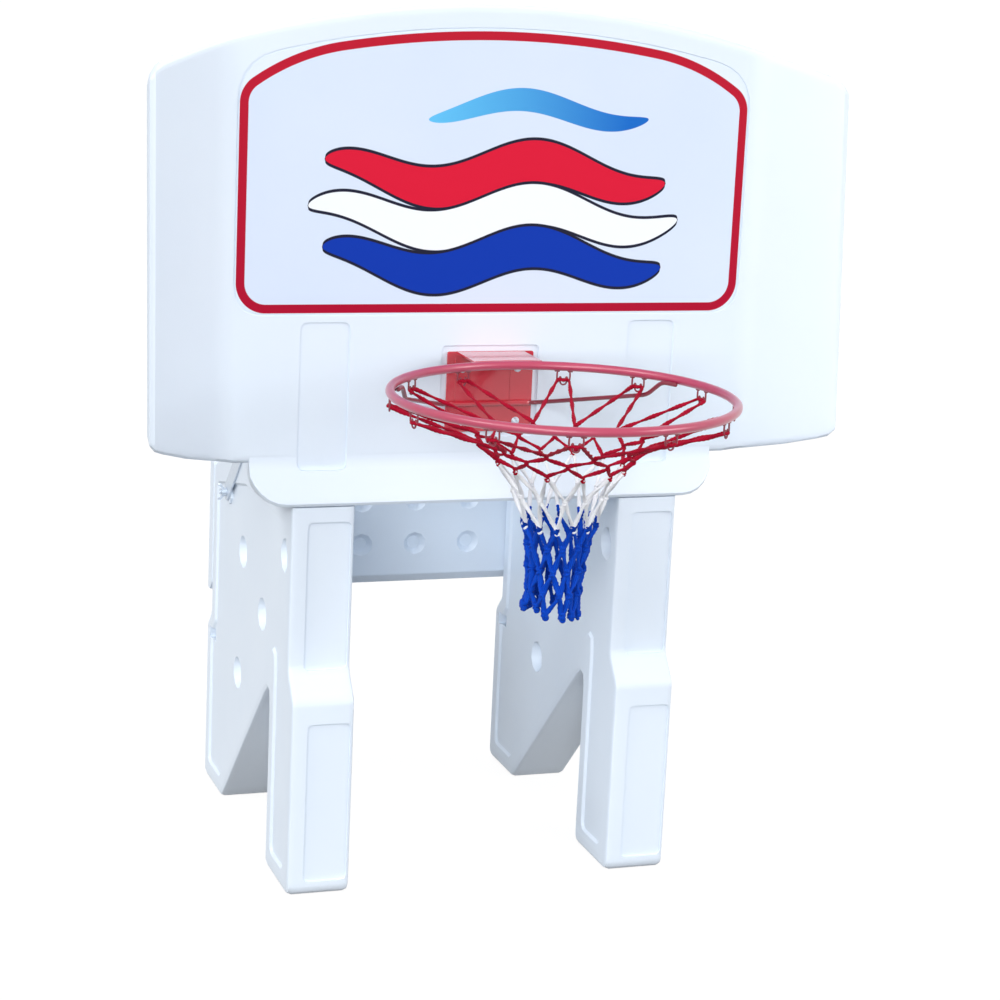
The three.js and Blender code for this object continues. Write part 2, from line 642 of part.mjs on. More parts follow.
// The sunk field, dimples and slot of one side face; depths run inwards from that face
function faceCutters(face, inward) {
  const at = (depth) => face + inward * depth;
  const span = (near, far) => [at(near), at(far)].sort((a, b) => a - b);
  const [start, end] = span(-OVERRUN, FIELD_DEPTH);
  const outline = roundedOutline(insetCorners(FIELD_CORNERS, FIELD_MARGIN));
  const [padStart, padEnd] = span(-2 * OVERRUN, 2 * OVERRUN);
  const pad = bar("x", BRACE_FOOT_DEPTH, BRACE_FOOT_HEIGHT, padStart, padEnd, BRACE_PAD_RADIUS);
  const field = carve(prism(outline, "x", start, end, FIELD_DEPTH, 1), [], [pad]);
  const dimples = DIMPLE_SHARES.map(([depthShare, heightShare]) => {
    const depth = PANEL_TOE + (PANEL_HEEL - PANEL_TOE) * depthShare;
    const height = DECK_HEIGHT * heightShare;
    const [near, far] = span(0, DIMPLE_DEPTH);
    const radii = [DIMPLE_RADIUS, DIMPLE_TIP_RADIUS];
    if (inward < 0) radii.reverse();
    return bar("x", depth, height, near, far, ...radii);
  });
  const slotCentre = PANEL_HEEL - SLOT_MARGIN;
  const slot = rectangle(
    slotCentre - SLOT_LENGTH / 2,
    SLOT_CENTRE_HEIGHT - SLOT_HEIGHT / 2,
    slotCentre + SLOT_LENGTH / 2,
    SLOT_CENTRE_HEIGHT + SLOT_HEIGHT / 2,
  );
  return [field, ...dimples, prism(roundedOutline(slot), "x", ...span(-OVERRUN, SLOT_DEPTH))];
}

// Ballast panel from its left face at zero: tongue, arch between two feet, fields and fill neck
function ballastPanel() {
  const middle = PANEL_THICKNESS / 2;
  const body = prism(roundedOutline(PANEL_CORNERS), "x", 0, PANEL_THICKNESS, PANEL_EDGE_RADIUS);
  const over = rectangle(PANEL_FRONT - OVERRUN, PANEL_TOP_HEIGHT, TONGUE_FRONT, TONGUE_HEIGHT);
  const above = prism(roundedOutline(over), "x", -OVERRUN, PANEL_THICKNESS + OVERRUN);
  const neckTop = DECK_HEIGHT + NECK_RISE;
  const neckBase = DECK_HEIGHT - OVERRUN;
  const boreBase = neckTop - NECK_BORE_DEPTH;
  const neck = bar("z", middle, NECK_DEPTH, neckBase, neckTop, NECK_RADIUS);
  const bore = bar("z", middle, NECK_DEPTH, boreBase, neckTop + OVERRUN, NECK_BORE_RADIUS);
  const faceField = (base, top, face) => {
    const right = PANEL_THICKNESS - FACE_FIELD_MARGIN;
    const corners = rectangle(FACE_FIELD_START, base, right, top, FACE_FIELD_CORNER);
    return prism(roundedOutline(corners), "y", face - OVERRUN, face + FACE_FIELD_DEPTH);
  };
  const tongueEnds = [TONGUE_FRONT - OVERRUN, TONGUE_REAR + OVERRUN];
  const crossEnds = [PANEL_REAR - BOLT_BITE - FIT, PANEL_REAR + OVERRUN];
  const boltEnds = [-OVERRUN, PANEL_THICKNESS + OVERRUN];
  const cutters = [
    above,
    ...faceCutters(0, 1),
    ...faceCutters(PANEL_THICKNESS, -1),
    faceField(SHOULDER_TOP_HEIGHT, FACE_FIELD_TOP_HEIGHT, PANEL_FRONT),
    faceField(FACE_FIELD_BASE_HEIGHT, FACE_FIELD_SPLIT_HEIGHT, PANEL_TOE),
    bore,
    ...TONGUE_BOLT_HEIGHTS.map((z) => bar("y", middle, z, ...tongueEnds, BOLT_HOLE_RADIUS)),
    ...CROSS_BOLT_HEIGHTS.map((z) => bar("y", middle, z, ...crossEnds, BOLT_HOLE_RADIUS)),
    bar("x", BRACE_FOOT_DEPTH, BRACE_FOOT_HEIGHT, ...boltEnds, BOLT_HOLE_RADIUS),
  ];
  return carve(body, [neck], cutters);
}

// Cross panel behind the ballast panels, with two rows of dimples
function crossPanel() {
  const front = PANEL_REAR + FIT;
  const corners = [
    [front, CROSS_BASE_HEIGHT + CROSS_BEVEL, CROSS_CORNER_RADIUS],
    [front + CROSS_BEVEL, CROSS_BASE_HEIGHT, CROSS_CORNER_RADIUS],
    [PANEL_HEEL, CROSS_BASE_HEIGHT, CROSS_CORNER_RADIUS],
    [PANEL_HEEL, REAR_CORNER_HEIGHT, CROSS_CORNER_RADIUS],
    [front, REAR_CORNER_HEIGHT, CROSS_CORNER_RADIUS],
  ];
  const outline = roundedOutline(corners);
  const body = prism(outline, "x", -PANEL_OUTER_FACE, PANEL_OUTER_FACE, CROSS_EDGE_RADIUS);
  const cutters = [];
  for (let column = 0; column < CROSS_DIMPLE_COLUMNS; column += 1) {
    const across = (column - (CROSS_DIMPLE_COLUMNS - 1) / 2) * CROSS_DIMPLE_SPACING;
    CROSS_DIMPLE_ROW_HEIGHTS.forEach((height) => {
      const ends = [front - CROSS_DIMPLE_DEPTH, front + CROSS_DIMPLE_DEPTH];
      const wide = 2 * CROSS_DIMPLE_RADIUS - CROSS_DIMPLE_FLOOR_RADIUS;
      cutters.push(bar("y", across, height, ...ends, wide, CROSS_DIMPLE_FLOOR_RADIUS));
    });
  }
  Object.values(SIDES).forEach((side) => {
    const ends = [front - OVERRUN, PANEL_HEEL + OVERRUN];
    CROSS_BOLT_HEIGHTS.forEach((height) => {
      cutters.push(bar("y", side * PANEL_CENTRE, height, ...ends, BOLT_HOLE_RADIUS));
    });
  });
  return carve(body, [], cutters);
}

// Bracket: an upright plate on the board and a shelf that lies on the rim
function rimBracket() {
  const plate = rectangle(
    -BRACKET_HALF_WIDTH,
    BRACKET_BASE_HEIGHT,
    BRACKET_HALF_WIDTH,
    BRACKET_TOP_HEIGHT,
    BRACKET_METAL,
  );
  const shelf = rectangle(-SHELF_HALF_WIDTH, -RIM_REACH, SHELF_HALF_WIDTH, BRACKET_BACK - FIT);
  const seat = new THREE.TorusGeometry(RIM_RADIUS, RIM_BAR_RADIUS + FIT, RIM_BAR_SIDES, RIM_SEGMENTS);
  const inside = new THREE.CylinderGeometry(
    RIM_RADIUS + SHELF_SEAT,
    RIM_RADIUS + SHELF_SEAT,
    BRACKET_DROP,
    RIM_SEGMENTS,
  );
  return carve(
    prism(roundedOutline(plate), "y", BRACKET_FACE, BRACKET_BACK),
    [prism(roundedOutline(shelf), "z", SHELF_BASE_HEIGHT, BRACKET_TOP_HEIGHT - FIT)],
    [
      ...bracketHoles(BRACKET_FACE - OVERRUN, BRACKET_BACK + OVERRUN),
      seat.translate(0, -RIM_REACH, RIM_HEIGHT),
      inside.rotateX(QUARTER_TURN).translate(0, -RIM_REACH, RIM_HEIGHT),
    ],
  );
}

// Plate behind the board that spreads the load of the bracket's nuts
function backPlate() {
  const half = BRACKET_BOLT_SPREAD + BACK_PLATE_MARGIN;
  const [low, high] = BRACKET_BOLT_HEIGHTS;
  const base = low - BACK_PLATE_MARGIN;
  const top = high + BACK_PLATE_MARGIN;
  const outline = roundedOutline(rectangle(-half, base, half, top, BACK_PLATE_MARGIN));
  const start = BOARD_BACK + FIT;
  const body = prism(outline, "y", start, BACK_PLATE_BACK);
  return carve(body, [], bracketHoles(start - OVERRUN, BACK_PLATE_BACK + OVERRUN));
}

// The four holes that bracket and back plate share
function bracketHoles(start, end) {
  return Object.values(SIDES).flatMap((side) =>
    BRACKET_BOLT_HEIGHTS.map((height) =>
      bar("y", side * BRACKET_BOLT_SPREAD, height, start, end, BOLT_HOLE_RADIUS),
    ),
  );
}

// Bent rod that ties the rim's sides to the foot of the bracket
function braceRod() {
  const rodHeight = RIM_HEIGHT - ROD_DROP;
  const plateDepth = BRACKET_FACE - FIT - ROD_RADIUS;
  const seat = RIM_BAR_RADIUS + FIT + ROD_RADIUS;
  const tabRadius = RIM_RADIUS - Math.sqrt(seat ** 2 - ROD_TAB_DROP ** 2);
  const byRim = (turn, radius, drop) => [
    radius * Math.cos(turn),
    -RIM_REACH + radius * Math.sin(turn),
    RIM_HEIGHT - drop,
  ];
  const half = [
    [SHELF_HALF_WIDTH, plateDepth, rodHeight],
    [BRACKET_HALF_WIDTH, plateDepth, rodHeight],
    [BRACKET_HALF_WIDTH + ROD_CLEAR, plateDepth, rodHeight],
    [ROD_KNEE_SPREAD, -ROD_KNEE_REACH, RIM_HEIGHT - ROD_KNEE_DROP],
    byRim(ROD_TAB_START, tabRadius - 2 * FIT, ROD_TAB_DROP),
    byRim((ROD_TAB_START + ROD_TAB_END) / 2, tabRadius, ROD_TAB_DROP),
    byRim(ROD_TAB_END, tabRadius, ROD_TAB_DROP),
  ];
  const left = [...half].reverse().map(([x, y, z]) => vector(-x, y, z));
  const right = half.map((point) => vector(...point));
  const bends = [...left, ...right];
  const path = new THREE.CatmullRomCurve3(bends, false, "centripetal");
  const points = path.getPoints((bends.length - 1) * ROD_SPANS);
  return cord(points, ROD_RADIUS, ROD_SIDES, () => vector(0, 0, 1));
}

// Double loop of wire under the rim; the net hangs over its middle hump
function netHook() {
  const top = -RIM_BAR_RADIUS - FIT;
  const base = -RIM_BAR_RADIUS - HOOK_DROP;
  const loop = HOOK_HALF_WIDTH * HOOK_LOOP_SHARE;
  const points = [
    [-HOOK_HALF_WIDTH, top],
    [-HOOK_HALF_WIDTH, base + HOOK_HUMP],
    [-loop, base],
    [0, base + HOOK_HUMP],
    [loop, base],
    [HOOK_HALF_WIDTH, base + HOOK_HUMP],
    [HOOK_HALF_WIDTH, top],
  ].map(([along, height]) => vector(RIM_RADIUS, along, height));
  return new THREE.ExtrudeGeometry(circle(HOOK_WIRE_RADIUS, HOOK_SIDES), {
    steps: HOOK_STEPS,
    extrudePath: new THREE.CatmullRomCurve3(points, false, "centripetal"),
    bevelEnabled: false,
  });
}

// Height at which the net's cord lies over a hook's hump, with its slope towards the first row
function netTop() {
  const [drop, radius] = NET_ROW_SHARES[1];
  const inward = RIM_RADIUS * (1 - radius * Math.cos(NET_TURN));
  const slope = (NET_LENGTH * drop) / inward;
  const lift = (HOOK_WIRE_RADIUS + NET_CORD_RADIUS + FIT) * Math.sqrt(1 + slope ** 2);
  return -RIM_BAR_RADIUS - HOOK_DROP + HOOK_HUMP + lift;
}

// Centre of the net's cord at a row, for a strand that starts at a hook and winds to one hand
function netPoint(hook, hand, row) {
  const [drop, share] = NET_ROW_SHARES[row];
  const angle = row === 0 ? HOOK_TURNS[hook] : NET_TURN * (2 * hook + 1 + hand * row);
  const radius = RIM_RADIUS * share + hand * NET_CORD_RADIUS * NET_LAY_SHARE;
  return vector(radius * Math.cos(angle), radius * Math.sin(angle), netTop() - NET_LENGTH * drop);
}

// One strand from its hook to the foot of the net
function netStrand(hook, hand) {
  const points = NET_ROW_SHARES.map((_, row) => netPoint(hook, hand, row));
  const [start, next] = points;
  const along = next.clone().sub(start).normalize();
  points[0] = start.clone().addScaledVector(along, -NET_CORD_RADIUS);
  return cord(points, NET_CORD_RADIUS, NET_SIDES, ({ x, y }) => vector(x, y, 0));
}

// The net's three colours, cut apart at their knots
function netParts() {
  const strands = HOOK_TURNS.flatMap((_, hook) => [-1, 1].map((hand) => netStrand(hook, hand)));
  const whole = strands.map(solidOf).reduce((sum, one) => sum.add(one));
  const rowHeight = (row) => netTop() - NET_LENGTH * NET_ROW_SHARES[row][0];
  const reach = RIM_RADIUS + 2 * OVERRUN;
  const slab = (low, high) => {
    const outline = roundedOutline(rectangle(-reach, -reach, reach, reach));
    return solidOf(prism(outline, "z", low + FIT / 2, high - FIT / 2));
  };
  const last = NET_ROW_SHARES.length - 1;
  const bands = {
    net_red: [rowHeight(RED_ROWS), rowHeight(0) + RIM_RADIUS],
    net_white: [rowHeight(WHITE_ROWS), rowHeight(RED_ROWS)],
    net_blue: [rowHeight(last) - RIM_RADIUS, rowHeight(WHITE_ROWS)],
  };
  return Object.entries(bands).map(([name, band]) => [name, geometryOf(whole.intersect(slab(...band)))]);
}

// A bolt along -Z from under its domed head at zero
function bolt(shankLength, headRadius = BOLT_HEAD_RADIUS) {
  const outline = [
    [0, BOLT_HEAD_HEIGHT],
    [headRadius / 2, BOLT_HEAD_HEIGHT],
    [headRadius, BOLT_HEAD_HEIGHT / 2],
    [headRadius, 0],
    [BOLT_RADIUS, 0],
    [BOLT_RADIUS, -shankLength],
    [0, -shankLength],
  ];
  return revolve(outline.reverse(), ROUND_SIDES);
}

// A closed profile turned about Z
function revolve(outline, sides) {
  const profile = outline.map((point) => new THREE.Vector2(...point));
  return new THREE.LatheGeometry(profile, sides).rotateX(QUARTER_TURN);
}

// A hexagon nut whose face is at zero
function hexNut() {
  const shape = circle(NUT_ACROSS, 6);
  shape.holes.push(new THREE.Path(circle(BOLT_HOLE_RADIUS, ROUND_SIDES).getPoints()));
  return new THREE.ExtrudeGeometry(shape, { depth: NUT_HEIGHT, bevelEnabled: false });
}

// A wing nut whose face is at zero
function wingNut() {
  const hub = revolve(
    [
      [BOLT_HOLE_RADIUS, 0],
      [WING_HUB_RADIUS, 0],
      [WING_HUB_RADIUS, WING_HUB_HEIGHT],
      [BOLT_HOLE_RADIUS, WING_HUB_HEIGHT],
      [BOLT_HOLE_RADIUS, 0],
    ],
    ROUND_SIDES,
  );
  const inner = (BOLT_HOLE_RADIUS + WING_HUB_RADIUS) / 2;
  const wings = [-1, 1].map((side) => {
    const corners = [
      [inner, WING_HUB_HEIGHT / 4, 0],
      [WING_SPREAD, WING_HUB_HEIGHT, WING_METAL],
      [WING_SPREAD, WING_TIP_HEIGHT, WING_METAL],
      [inner, WING_HUB_HEIGHT - WING_METAL / 2, 0],
    ];
    const wing = prism(roundedOutline(corners), "y", -WING_METAL / 2, WING_METAL / 2);
    return side < 0 ? wing.rotateZ(HALF_TURN) : wing;
  });
  return carve(hub, wings, []);
}

// Steel strap on the right side: a flat bar that ends in a flange on the board's back
function boardBrace() {
  const back = BOARD_BACK + FIT;
  const inner = PANEL_OUTER_FACE + FIT;
  const up = new THREE.Vector2(-Math.cos(BRACE_ANGLE), Math.sin(BRACE_ANGLE));
  const foot = new THREE.Vector2(BRACE_FOOT_DEPTH, BRACE_FOOT_HEIGHT);
  const end = Array.from({ length: BRACE_FOOT_POINTS + 1 }, (_, i) => {
    const turn = QUARTER_TURN + (HALF_TURN * i) / BRACE_FOOT_POINTS;
    const arm = up.clone().rotateAround(new THREE.Vector2(), turn);
    return foot.clone().addScaledVector(arm, BRACE_WIDTH / 2);
  });
  const atBack = (point) => point.clone().addScaledVector(up, (back - point.x) / up.x);
  const tops = [atBack(end[BRACE_FOOT_POINTS]), atBack(end[0])];
  const strap = prism([...end, ...tops], "x", inner, BRACE_OUTER_FACE);
  const [high, low] = tops.map((point) => point.y).sort((a, b) => b - a);
  const flangeOutline = rectangle(inner, low, BRACE_OUTER_FACE + BRACE_FLANGE, high);
  const flange = prism(roundedOutline(flangeOutline), "y", back, back + BRACE_METAL);
  const boltHole = [inner - OVERRUN, BRACE_OUTER_FACE + OVERRUN, BOLT_HOLE_RADIUS];
  const screwHole = [back - OVERRUN, back + 2 * OVERRUN, BOLT_HOLE_RADIUS];
  return carve(strap, [flange], [
    bar("x", BRACE_FOOT_DEPTH, BRACE_FOOT_HEIGHT, ...boltHole),
    bar("y", BRACE_SCREW_SPREAD, BRACE_TOP_HEIGHT, ...screwHole),
  ]);
}

// Screw cap of a fill neck, with its plug below zero and a grip bar on top
function fillCap() {
  const outline = [
    [0, -CAP_PLUG_LENGTH],
    [CAP_PLUG_RADIUS, -CAP_PLUG_LENGTH],
    [CAP_PLUG_RADIUS, 0],
    [CAP_RADIUS, 0],
    [CAP_RADIUS, CAP_HEIGHT],
    [0, CAP_HEIGHT],
  ];
  const grip = rectangle(
    -CAP_GRIP_SPREAD,
    CAP_HEIGHT / 2,
    CAP_GRIP_SPREAD,
    CAP_HEIGHT + CAP_GRIP_RISE,
    CAP_GRIP_METAL / 2,
  );
  const handle = prism(roundedOutline(grip), "y", -CAP_GRIP_METAL / 2, CAP_GRIP_METAL / 2);
  return carve(revolve(outline, CAP_SIDES), [handle], []);
}

// Flat ring between a neck and its cap
function gasket() {
  const inner = CAP_PLUG_RADIUS + FIT;
  const outline = [
    [inner, 0],
    [NECK_RADIUS, 0],
    [NECK_RADIUS, GASKET_METAL],
    [inner, GASKET_METAL],
    [inner, 0],
  ];
  return revolve(outline, CAP_SIDES);
}

// Adds a named mesh to a group
function place(group, name, geometry, finish) {
  const mesh = new THREE.Mesh(geometry, paint(...finish));
  mesh.name = name;
  group.add(mesh);
  return mesh;
}

// Turns a piece made along +Z to point along an axis
function aim(mesh, direction, x, y, z) {
  mesh.quaternion.setFromUnitVectors(vector(0, 0, 1), direction);
  mesh.position.set(x, y, z);
}

const BACKWARD = vector(0, 1, 0);
const FORWARD = vector(0, -1, 0);
const hoop = new THREE.Group();

// Structure
place(hoop, "backboard", backboard(), WHITE_PLASTIC);
const film = prism(
  decalOutline(0),
  "y",
  DECAL_FIELD_DEPTH - FIT - DECAL_THICKNESS,
  DECAL_FIELD_DEPTH - FIT,
);
place(hoop, "face_decal", film, DECAL_FILM);
place(hoop, "rear_cross_panel", crossPanel(), WHITE_PLASTIC);
Object.entries(SIDES).forEach(([name, side]) => {
  const left = side > 0 ? PANEL_INNER_FACE : -PANEL_OUTER_FACE;
  const panel = place(hoop, `side_panel_${name}`, ballastPanel(), WHITE_PLASTIC);
  panel.position.x = left;
  const across = left + PANEL_THICKNESS / 2;
  const neckTop = DECK_HEIGHT + NECK_RISE + FIT;
  const ring = place(hoop, `gasket_${name}`, gasket(), RUBBER);
  ring.position.set(across, NECK_DEPTH, neckTop);
  const cap = place(hoop, `fill_cap_${name}`, fillCap(), WHITE_PLASTIC);
  cap.position.set(across, NECK_DEPTH, neckTop + GASKET_METAL + FIT);
  TONGUE_BOLT_HEIGHTS.forEach((height, index) => {
    const length = TONGUE_DEPTH + 2 * FIT + BOLT_BITE;
    const piece = place(hoop, `tongue_bolt_${name}_${index + 1}`, bolt(length), ZINC);
    aim(piece, BACKWARD, side * PANEL_CENTRE, TONGUE_REAR + FIT, height);
  });
  CROSS_BOLT_HEIGHTS.forEach((height, index) => {
    const length = PANEL_HEEL - PANEL_REAR + BOLT_BITE;
    const piece = place(hoop, `cross_bolt_${name}_${index + 1}`, bolt(length), ZINC);
    aim(piece, BACKWARD, side * PANEL_CENTRE, PANEL_HEEL + FIT, height);
  });
});

// Braces and their fasteners
Object.entries(SIDES).forEach(([name, side]) => {
  const strap = boardBrace();
  if (side < 0) {
    strap.scale(-1, 1, 1);
    const order = strap.index.array;
    for (let i = 0; i < order.length; i += 3) [order[i], order[i + 1]] = [order[i + 1], order[i]];
  }
  place(hoop, `board_brace_${name}`, strap, ZINC);
  const outward = vector(side, 0, 0);
  const nut = place(hoop, `wing_nut_${name}`, wingNut(), ZINC);
  aim(nut, outward, side * (BRACE_OUTER_FACE + FIT), BRACE_FOOT_DEPTH, BRACE_FOOT_HEIGHT);
  const length = PANEL_THICKNESS + 2 * FIT + BRACE_METAL + FIT + WING_HUB_HEIGHT + BOLT_TAIL;
  const through = place(hoop, `brace_bolt_${name}`, bolt(length), ZINC);
  const inward = outward.clone().negate();
  const headFace = side * (PANEL_INNER_FACE - FIT);
  aim(through, inward, headFace, BRACE_FOOT_DEPTH, BRACE_FOOT_HEIGHT);
  const screw = place(hoop, `brace_screw_${name}`, bolt(BRACE_METAL + 2 * FIT + BRACE_SCREW_BITE), ZINC);
  const screwFace = BOARD_BACK + 2 * FIT + BRACE_METAL;
  aim(screw, BACKWARD, side * BRACE_SCREW_SPREAD, screwFace, BRACE_TOP_HEIGHT);
});

// Rim bracket and its bolts
place(hoop, "rim_bracket", rimBracket(), RED_ENAMEL);
place(hoop, "bracket_back_plate", backPlate(), ZINC);
Object.entries(SIDES).forEach(([name, side]) => {
  BRACKET_BOLT_HEIGHTS.forEach((height, index) => {
    const across = side * BRACKET_BOLT_SPREAD;
    const length = BACK_PLATE_BACK - BRACKET_FACE + 2 * FIT + NUT_HEIGHT + BOLT_TAIL;
    const piece = place(hoop, `bracket_bolt_${name}_${index + 1}`, bolt(length), ZINC);
    aim(piece, FORWARD, across, BRACKET_FACE - FIT, height);
    const nut = place(hoop, `bracket_nut_${name}_${index + 1}`, hexNut(), ZINC);
    aim(nut, BACKWARD, across, BACK_PLATE_BACK + FIT, height);
  });
});

// Rim, brace rod, hooks and net
place(hoop, "rim_brace", braceRod(), DARK_RED_ENAMEL);
const rim = new THREE.Group();
rim.position.set(0, -RIM_REACH, RIM_HEIGHT);
hoop.add(rim);
const ring = new THREE.TorusGeometry(RIM_RADIUS, RIM_BAR_RADIUS, RIM_BAR_SIDES, RIM_SEGMENTS);
place(rim, "rim_ring", ring, RED_ENAMEL);
HOOK_TURNS.forEach((turn, hook) => {
  const piece = place(rim, `net_hook_${hook + 1}`, netHook(), RED_ENAMEL);
  piece.rotation.z = turn;
});
const CORDS = { net_red: RED_CORD, net_white: WHITE_CORD, net_blue: BLUE_CORD };
netParts().forEach(([name, geometry]) => place(rim, name, geometry, CORDS[name]));

// The origin is the middle of the footprint's box, on the deck
hoop.updateMatrixWorld(true);
const box = new THREE.Box3().setFromObject(hoop, true);
const whole = new THREE.Group();
hoop.position.set(0, -(box.min.y + box.max.y) / 2, -box.min.z);
whole.add(hoop);

export default whole;
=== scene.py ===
"""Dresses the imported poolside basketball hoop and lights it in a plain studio."""

from __future__ import annotations

import json
import logging
import math
from dataclasses import dataclass, field
from enum import Enum
from typing import Sequence

import bmesh
import bpy
import numpy as np
from mathutils import Matrix, Vector


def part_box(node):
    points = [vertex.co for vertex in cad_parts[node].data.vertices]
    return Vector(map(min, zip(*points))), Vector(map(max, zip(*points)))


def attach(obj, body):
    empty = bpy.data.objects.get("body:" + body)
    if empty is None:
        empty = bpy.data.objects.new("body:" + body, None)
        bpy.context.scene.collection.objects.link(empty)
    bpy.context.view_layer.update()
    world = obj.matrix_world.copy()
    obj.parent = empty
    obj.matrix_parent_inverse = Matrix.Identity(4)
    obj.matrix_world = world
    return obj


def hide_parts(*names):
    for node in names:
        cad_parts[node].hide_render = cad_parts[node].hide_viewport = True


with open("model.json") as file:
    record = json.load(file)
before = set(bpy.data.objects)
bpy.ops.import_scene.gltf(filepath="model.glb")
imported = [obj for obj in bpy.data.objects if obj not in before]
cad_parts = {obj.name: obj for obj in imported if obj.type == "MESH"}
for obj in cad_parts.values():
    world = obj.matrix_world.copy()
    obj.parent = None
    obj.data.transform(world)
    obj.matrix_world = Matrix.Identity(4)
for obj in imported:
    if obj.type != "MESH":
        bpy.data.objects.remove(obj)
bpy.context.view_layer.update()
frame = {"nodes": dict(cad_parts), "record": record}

LOG = logging.getLogger("hoop")
TURN = 2.0 * math.pi
WHITE = (255, 255, 255)
UP = np.array([0.0, 0.0, 1.0])
LEVEL = np.array([1.0, 1.0, 0.0])
MIRROR = np.array([-1.0, 1.0, 1.0])
MM = 0.001
PLAIT = 0.0062
BEND_STEPS = 9
LEAST_SAMPLES = 8

Array = np.ndarray
Piece = bpy.types.Object
Material = bpy.types.Material
Pair = tuple[float, float]
Colour = tuple[float, float, float]


# Colour and shader tools


def linear(shown: Colour) -> tuple[float, ...]:
    """Turns a display colour, from 0 to 255, into a linear one with an alpha of 1.

    Args:
        shown: Red, green and blue as a display shows them.

    Returns:
        The linear colour.
    """
    share = np.array(shown) / 255.0
    curved = ((share + 0.055) / 1.055) ** 2.4
    return (*np.where(share <= 0.04045, share / 12.92, curved).tolist(), 1.0)


class Signal:
    """One output socket of a shader, with arithmetic that adds Math nodes."""

    def __init__(self, graph: Graph, socket: bpy.types.NodeSocket) -> None:
        """Wraps a socket of a graph."""
        self.graph = graph
        self.socket = socket

    def __add__(self, other: Value) -> Signal:
        """Sum."""
        return self.graph.math("ADD", self, other)

    __radd__ = __add__

    def __mul__(self, other: Value) -> Signal:
        """Product."""
        return self.graph.math("MULTIPLY", self, other)

    __rmul__ = __mul__

    def __sub__(self, other: Value) -> Signal:
        """Difference."""
        return self.graph.math("SUBTRACT", self, other)

    def __rsub__(self, other: Value) -> Signal:
        """Difference from a plain number."""
        return self.graph.math("SUBTRACT", other, self)

    def __truediv__(self, other: Value) -> Signal:
        """Quotient."""
        return self.graph.math("DIVIDE", self, other)

    def __pow__(self, other: Value) -> Signal:
        """Power."""
        return self.graph.math("POWER", self, other)

    def __abs__(self) -> Signal:
        """Distance from zero."""
        return self.graph.math("ABSOLUTE", self)

    def sine(self) -> Signal:
        """Sine of an angle in radians."""
        return self.graph.math("SINE", self)

    def root(self) -> Signal:
        """Square root."""
        return self.graph.math("SQRT", self)

    def at_least(self, other: Value) -> Signal:
        """The larger of two values."""
        return self.graph.math("MAXIMUM", self, other)

    def at_most(self, other: Value) -> Signal:
        """The smaller of two values."""
        return self.graph.math("MINIMUM", self, other)

    def clamped(self) -> Signal:
        """The value held between 0 and 1."""
        return self.at_least(0.0).at_most(1.0)

    def about(self, middle: Value, swing: float) -> Signal:
        """A noise around one half turned into one of a given swing around a middle."""
        return (self - 0.5) * swing + middle

    def below(self, limit: float, soft: float) -> Signal:
        """A mask that is 1 under a limit and one half at it, with an edge of a soft width."""
        return ((limit - self) / soft + 0.5).clamped()


Value = Signal | float
Inputs = dict[str | int, object]


class Graph:
    """The node tree of one material or world."""

    def __init__(self, tree: bpy.types.NodeTree) -> None:
        """Empties a tree and starts on it."""
        self.tree = tree
        tree.nodes.clear()

    def node(
        self, kind: str, settings: dict[str, object] | None = None, inputs: Inputs | None = None
    ) -> bpy.types.Node:
        """Adds one node.

        Args:
            kind: Blender's name of the node type.
            settings: Properties, which are set first.
            inputs: Values, display colours or signals by socket name or number.

        Returns:
            The new node.
        """
        made = self.tree.nodes.new(kind)
        for key, value in (settings or {}).items():
            setattr(made, key, value)
        for key, value in (inputs or {}).items():
            socket = made.inputs[key]
            if isinstance(value, Signal):
                self.tree.links.new(value.socket, socket)
            else:
                socket.default_value = linear(value) if isinstance(value, tuple) else value
        return made

    def out(self, made: bpy.types.Node, name: str | int = 0) -> Signal:
        """One output of a node as a signal."""
        return Signal(self, made.outputs[name])

    def math(self, operation: str, *values: Value) -> Signal:
        """Adds a Math node on some values."""
        inputs = dict(enumerate(values))
        return self.out(self.node("ShaderNodeMath", {"operation": operation}, inputs))

    def mix(self, factor: Value, first: Signal | Colour, second: Signal | Colour) -> Signal:
        """Mixes two colours: a factor of 0 gives the first, 1 the second."""
        inputs = {0: factor, 6: first, 7: second}
        return self.out(self.node("ShaderNodeMix", {"data_type": "RGBA"}, inputs), 2)

    def own(self) -> Signal:
        """A point's place in its object, in metres."""
        return self.out(self.node("ShaderNodeTexCoord"), "Object")

    def parts(self, point: Signal) -> list[Signal]:
        """The three parts of a vector."""
        split = self.node("ShaderNodeSeparateXYZ", None, {0: point})
        return [self.out(split, axis) for axis in "XYZ"]

    def noise(self, scale: float, detail: float = 2.0) -> Signal:
        """Noise around one half over the object, by its features per metre and its octaves."""
        inputs = {"Vector": self.own(), "Scale": scale, "Detail": detail}
        return self.out(self.node("ShaderNodeTexNoise", None, inputs))

    def bump(self, height: Signal, distance: float, strength: float) -> Signal:
        """A normal bent by a height, a share of a distance in metres, at some strength."""
        inputs = {"Height": height, "Distance": distance, "Strength": strength}
        return self.out(self.node("ShaderNodeBump", None, inputs), "Normal")


def material(name: str) -> tuple[Material, Graph]:
    """Makes an empty material.

    Args:
        name: The material's name.

    Returns:
        The material and the graph of its tree.
    """
    made = bpy.data.materials.new(name)
    made.use_nodes = True
    return made, Graph(made.node_tree)


# Finishes


class Finish:
    """A named material of one principled surface, whose sockets each finish gives."""

    name: str

    def sockets(self, graph: Graph) -> Inputs:
        """The surface's values and signals by socket name."""
        raise NotImplementedError

    def make(self) -> Material:
        """Builds the material.

        Returns:
            The material.
        """
        made, graph = material(self.name)
        shader = graph.node("ShaderNodeBsdfPrincipled", None, self.sockets(graph))
        graph.node("ShaderNodeOutputMaterial", None, {"Surface": graph.out(shader)})
        return made


